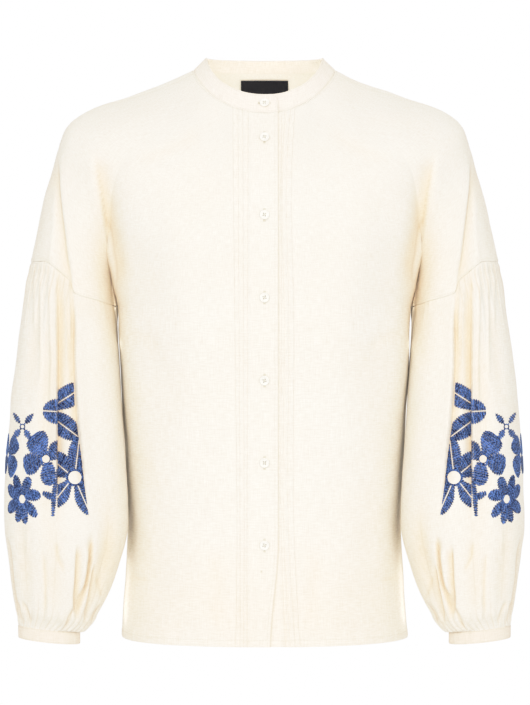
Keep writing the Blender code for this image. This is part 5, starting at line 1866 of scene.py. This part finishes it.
def thread_material(name):
    """Twisted thread whose colour varies from strand to strand, with painted glints and painted
    shade along its twist.
    """
    dark, light, roughness, bump, glint_strength = THREAD_LOOKS[name]
    made, tree, shader = new_material(name)
    parts = put(tree, "ShaderNodeSeparateXYZ", Vector=read_place(tree, "thread_place"))
    along = math_node(tree, "MULTIPLY", parts.outputs["X"], 2 * math.pi / TWIST)
    across = math_node(tree, "MULTIPLY", parts.outputs["Y"], 5.0)
    twist = math_node(tree, "SINE", math_node(tree, "ADD", along, across))
    ground = tree.nodes.new("ShaderNodeNewGeometry").outputs["Position"]
    # painted glints scattered over the thread, and painted shade along its twist
    glint_noise = put(tree, "ShaderNodeTexNoise", Vector=ground, Scale=620.0, Detail=1.0).outputs["Fac"]
    glint = math_node(tree, "MULTIPLY_ADD", glint_noise, glint_strength, -0.5 * glint_strength)
    varied = math_node(tree, "MULTIPLY_ADD", twist, 0.10, glint)
    share = math_node(tree, "ADD", read_value(tree, "tone"), varied)
    looks = {
        "Base Color": colour_between(tree, share, paint(dark), paint(light)),
        "Normal": put(tree, "ShaderNodeBump", Strength=bump, Distance=0.0001, Height=twist).outputs["Normal"],
        "Roughness": roughness,
        "Specular IOR Level": 0.4,
    }
    return finish_material(made, tree, shader, looks)


def cloudy(tree, first, second, **inputs):
    """A colour that wanders softly between two, and the noise that it follows."""
    place = tree.nodes.new("ShaderNodeTexCoord").outputs["Object"]
    cloud = put(tree, "ShaderNodeTexNoise", Vector=place, **inputs).outputs["Fac"]
    return colour_between(tree, cloud, first, second), cloud


def button_material():
    """Pale shell with a soft cloudy lustre."""
    made, tree, shader = new_material("button_shell")
    first, second = [paint(colour) for colour in SHELL_COLOURS]
    colour, cloud = cloudy(tree, first, second, Scale=260.0, Detail=2.0, Distortion=1.2)
    rough = math_node(tree, "MULTIPLY_ADD", cloud, 0.2, 0.18)
    looks = {"Base Color": colour, "Roughness": rough, "Coat Weight": 0.3, "Coat Roughness": 0.15}
    return finish_material(made, tree, shader, looks)


def floor_material():
    made, tree, shader = new_material("pale_floor")
    colour, _ = cloudy(tree, (0.86, 0.86, 0.85, 1.0), (0.90, 0.90, 0.89, 1.0), Scale=3.0, Detail=4.0)
    return finish_material(made, tree, shader, {"Base Color": colour, "Roughness": 0.8})


# Camera, light and floor
def set_camera():
    camera = bpy.data.cameras.new("camera")
    camera.lens = CAMERA_LENS
    camera.sensor_width = 36.0
    placed = link_object("camera", camera)
    placed.location = CAMERA_PLACE
    placed.rotation_euler = (math.radians(90), 0.0, 0.0)
    bpy.context.scene.camera = placed


def add_soft_light(name, place, turned, power, width, height=None):
    """A soft light that the camera doesn't see: a square one, or a strip where it has a height."""
    lamp = bpy.data.lights.new(name, "AREA")
    lamp.shape = "RECTANGLE" if height else "SQUARE"
    lamp.size = width
    if height:
        lamp.size_y = height
    lamp.energy = power
    placed = link_object(name, lamp)
    placed.location = place
    placed.rotation_euler = turned
    placed.visible_camera = False


def set_studio():
    scene = bpy.context.scene
    scene.view_settings.view_transform = "Standard"
    scene.view_settings.use_curve_mapping = True
    curve = scene.view_settings.curve_mapping.curves[3]
    for bright, shown in HIGH_KEY:
        curve.points.new(bright, shown)
    scene.view_settings.curve_mapping.update()
    world = bpy.data.worlds.new("studio")
    world.use_nodes = True
    tree = world.node_tree
    background = tree.nodes["Background"]
    path = tree.nodes.new("ShaderNodeLightPath")
    feed(tree, background.inputs["Color"], (1.0, 1.0, 1.0, 1.0))
    strength = math_node(tree, "MULTIPLY_ADD", path.outputs["Is Camera Ray"], 1 - AMBIENT, AMBIENT)
    feed(tree, background.inputs["Strength"], strength)
    scene.world = world
    for name, place, aim, width, power in SOFTBOXES:
        turned = (Vector(aim) - Vector(place)).to_track_quat("-Z", "Y").to_euler()
        add_soft_light(name, place, turned, power, width)
    for side in (-1, 1):
        for name, (x, y, z), height, lean, turn, power in STRIPS:
            turned = (math.radians(90), side * lean, side * turn)
            add_soft_light(name, (side * x, y, z), turned, power, STRIP_WIDTH, height)
    place, colour, power, softness = INSIDE_LAMP
    inside = bpy.data.lights.new("light_through_linen", "POINT")
    inside.color = colour
    inside.energy = power
    inside.shadow_soft_size = softness
    link_object("light_through_linen", inside).location = place


def add_floor():
    sides = 96
    turns = np.arange(sides) * 2 * math.pi / sides
    ring = [(FLOOR_RADIUS * math.cos(turn), FLOOR_RADIUS * math.sin(turn), FLOOR_Z) for turn in turns]
    mesh = bpy.data.meshes.new("floor")
    mesh.from_pydata(ring, [], [list(range(sides))])
    mesh.materials.append(floor_material())
    link_object("floor", mesh)


def main():
    set_camera()
    set_studio()
    add_floor()
    groups = {"weave": weave_group(), "warm": painted_shade_group()}
    linen, band_linen, woven = [cloth_material(name, groups) for name in CLOTH_LOOKS]
    cream, blue = [thread_material(name) for name in THREAD_LOOKS]
    shell = button_material()

    front_right, *right_grids = front_panel("front_right", -1, True, linen)
    front_left, *left_grids = front_panel("front_left", 1, False, linen)
    back, *back_grids = back_panel(linen)
    made, cuffs = {}, {}
    for word, side in (("right", -1), ("left", 1)):
        made["sleeve_" + word], points, normals = sleeve("sleeve_" + word, side, linen)
        made["embroidery_" + word] = embroidery("embroidery_" + word, points, normals, side, blue)
        made["cuff_" + word], *cuffs[side] = cuff("cuff_" + word, side, band_linen)
    band, *band_grids = collar_band(band_linen)
    label = neck_label(woven)

    seats = [collar_seat()] + [front_seat(height) for height in FRONT_BUTTON_HEIGHTS]
    pierced = button_mesh(shell)
    buttons = []
    for number, (seat, facing) in enumerate(seats, start=1):
        button = link_object("button_" + str(number) + "_shell", pierced)
        turned, origin = seat_frame(seat, facing, button_twist(number - 1))
        placed = np.eye(4)
        placed[:3, :3], placed[:3, 3] = turned, origin
        button.matrix_world = Matrix(placed.tolist())
        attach(button, "root")
        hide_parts("button_" + str(number))
        buttons.append(button)
    buttonholes, button_threads = button_work(seats, cream)
    stitching = seam_stitching(cream, {-1: right_grids, 1: left_grids}, back_grids, cuffs, band_grids)

    for panel, width, length, area, others in (
        (front_right, 0.42, 0.69, 0.176, [buttonholes]),
        (front_left, 0.42, 0.69, 0.176, [button_threads, *buttons]),
        (back, 0.84, 0.72, 0.330, [stitching]),
    ):
        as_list(others)


main()
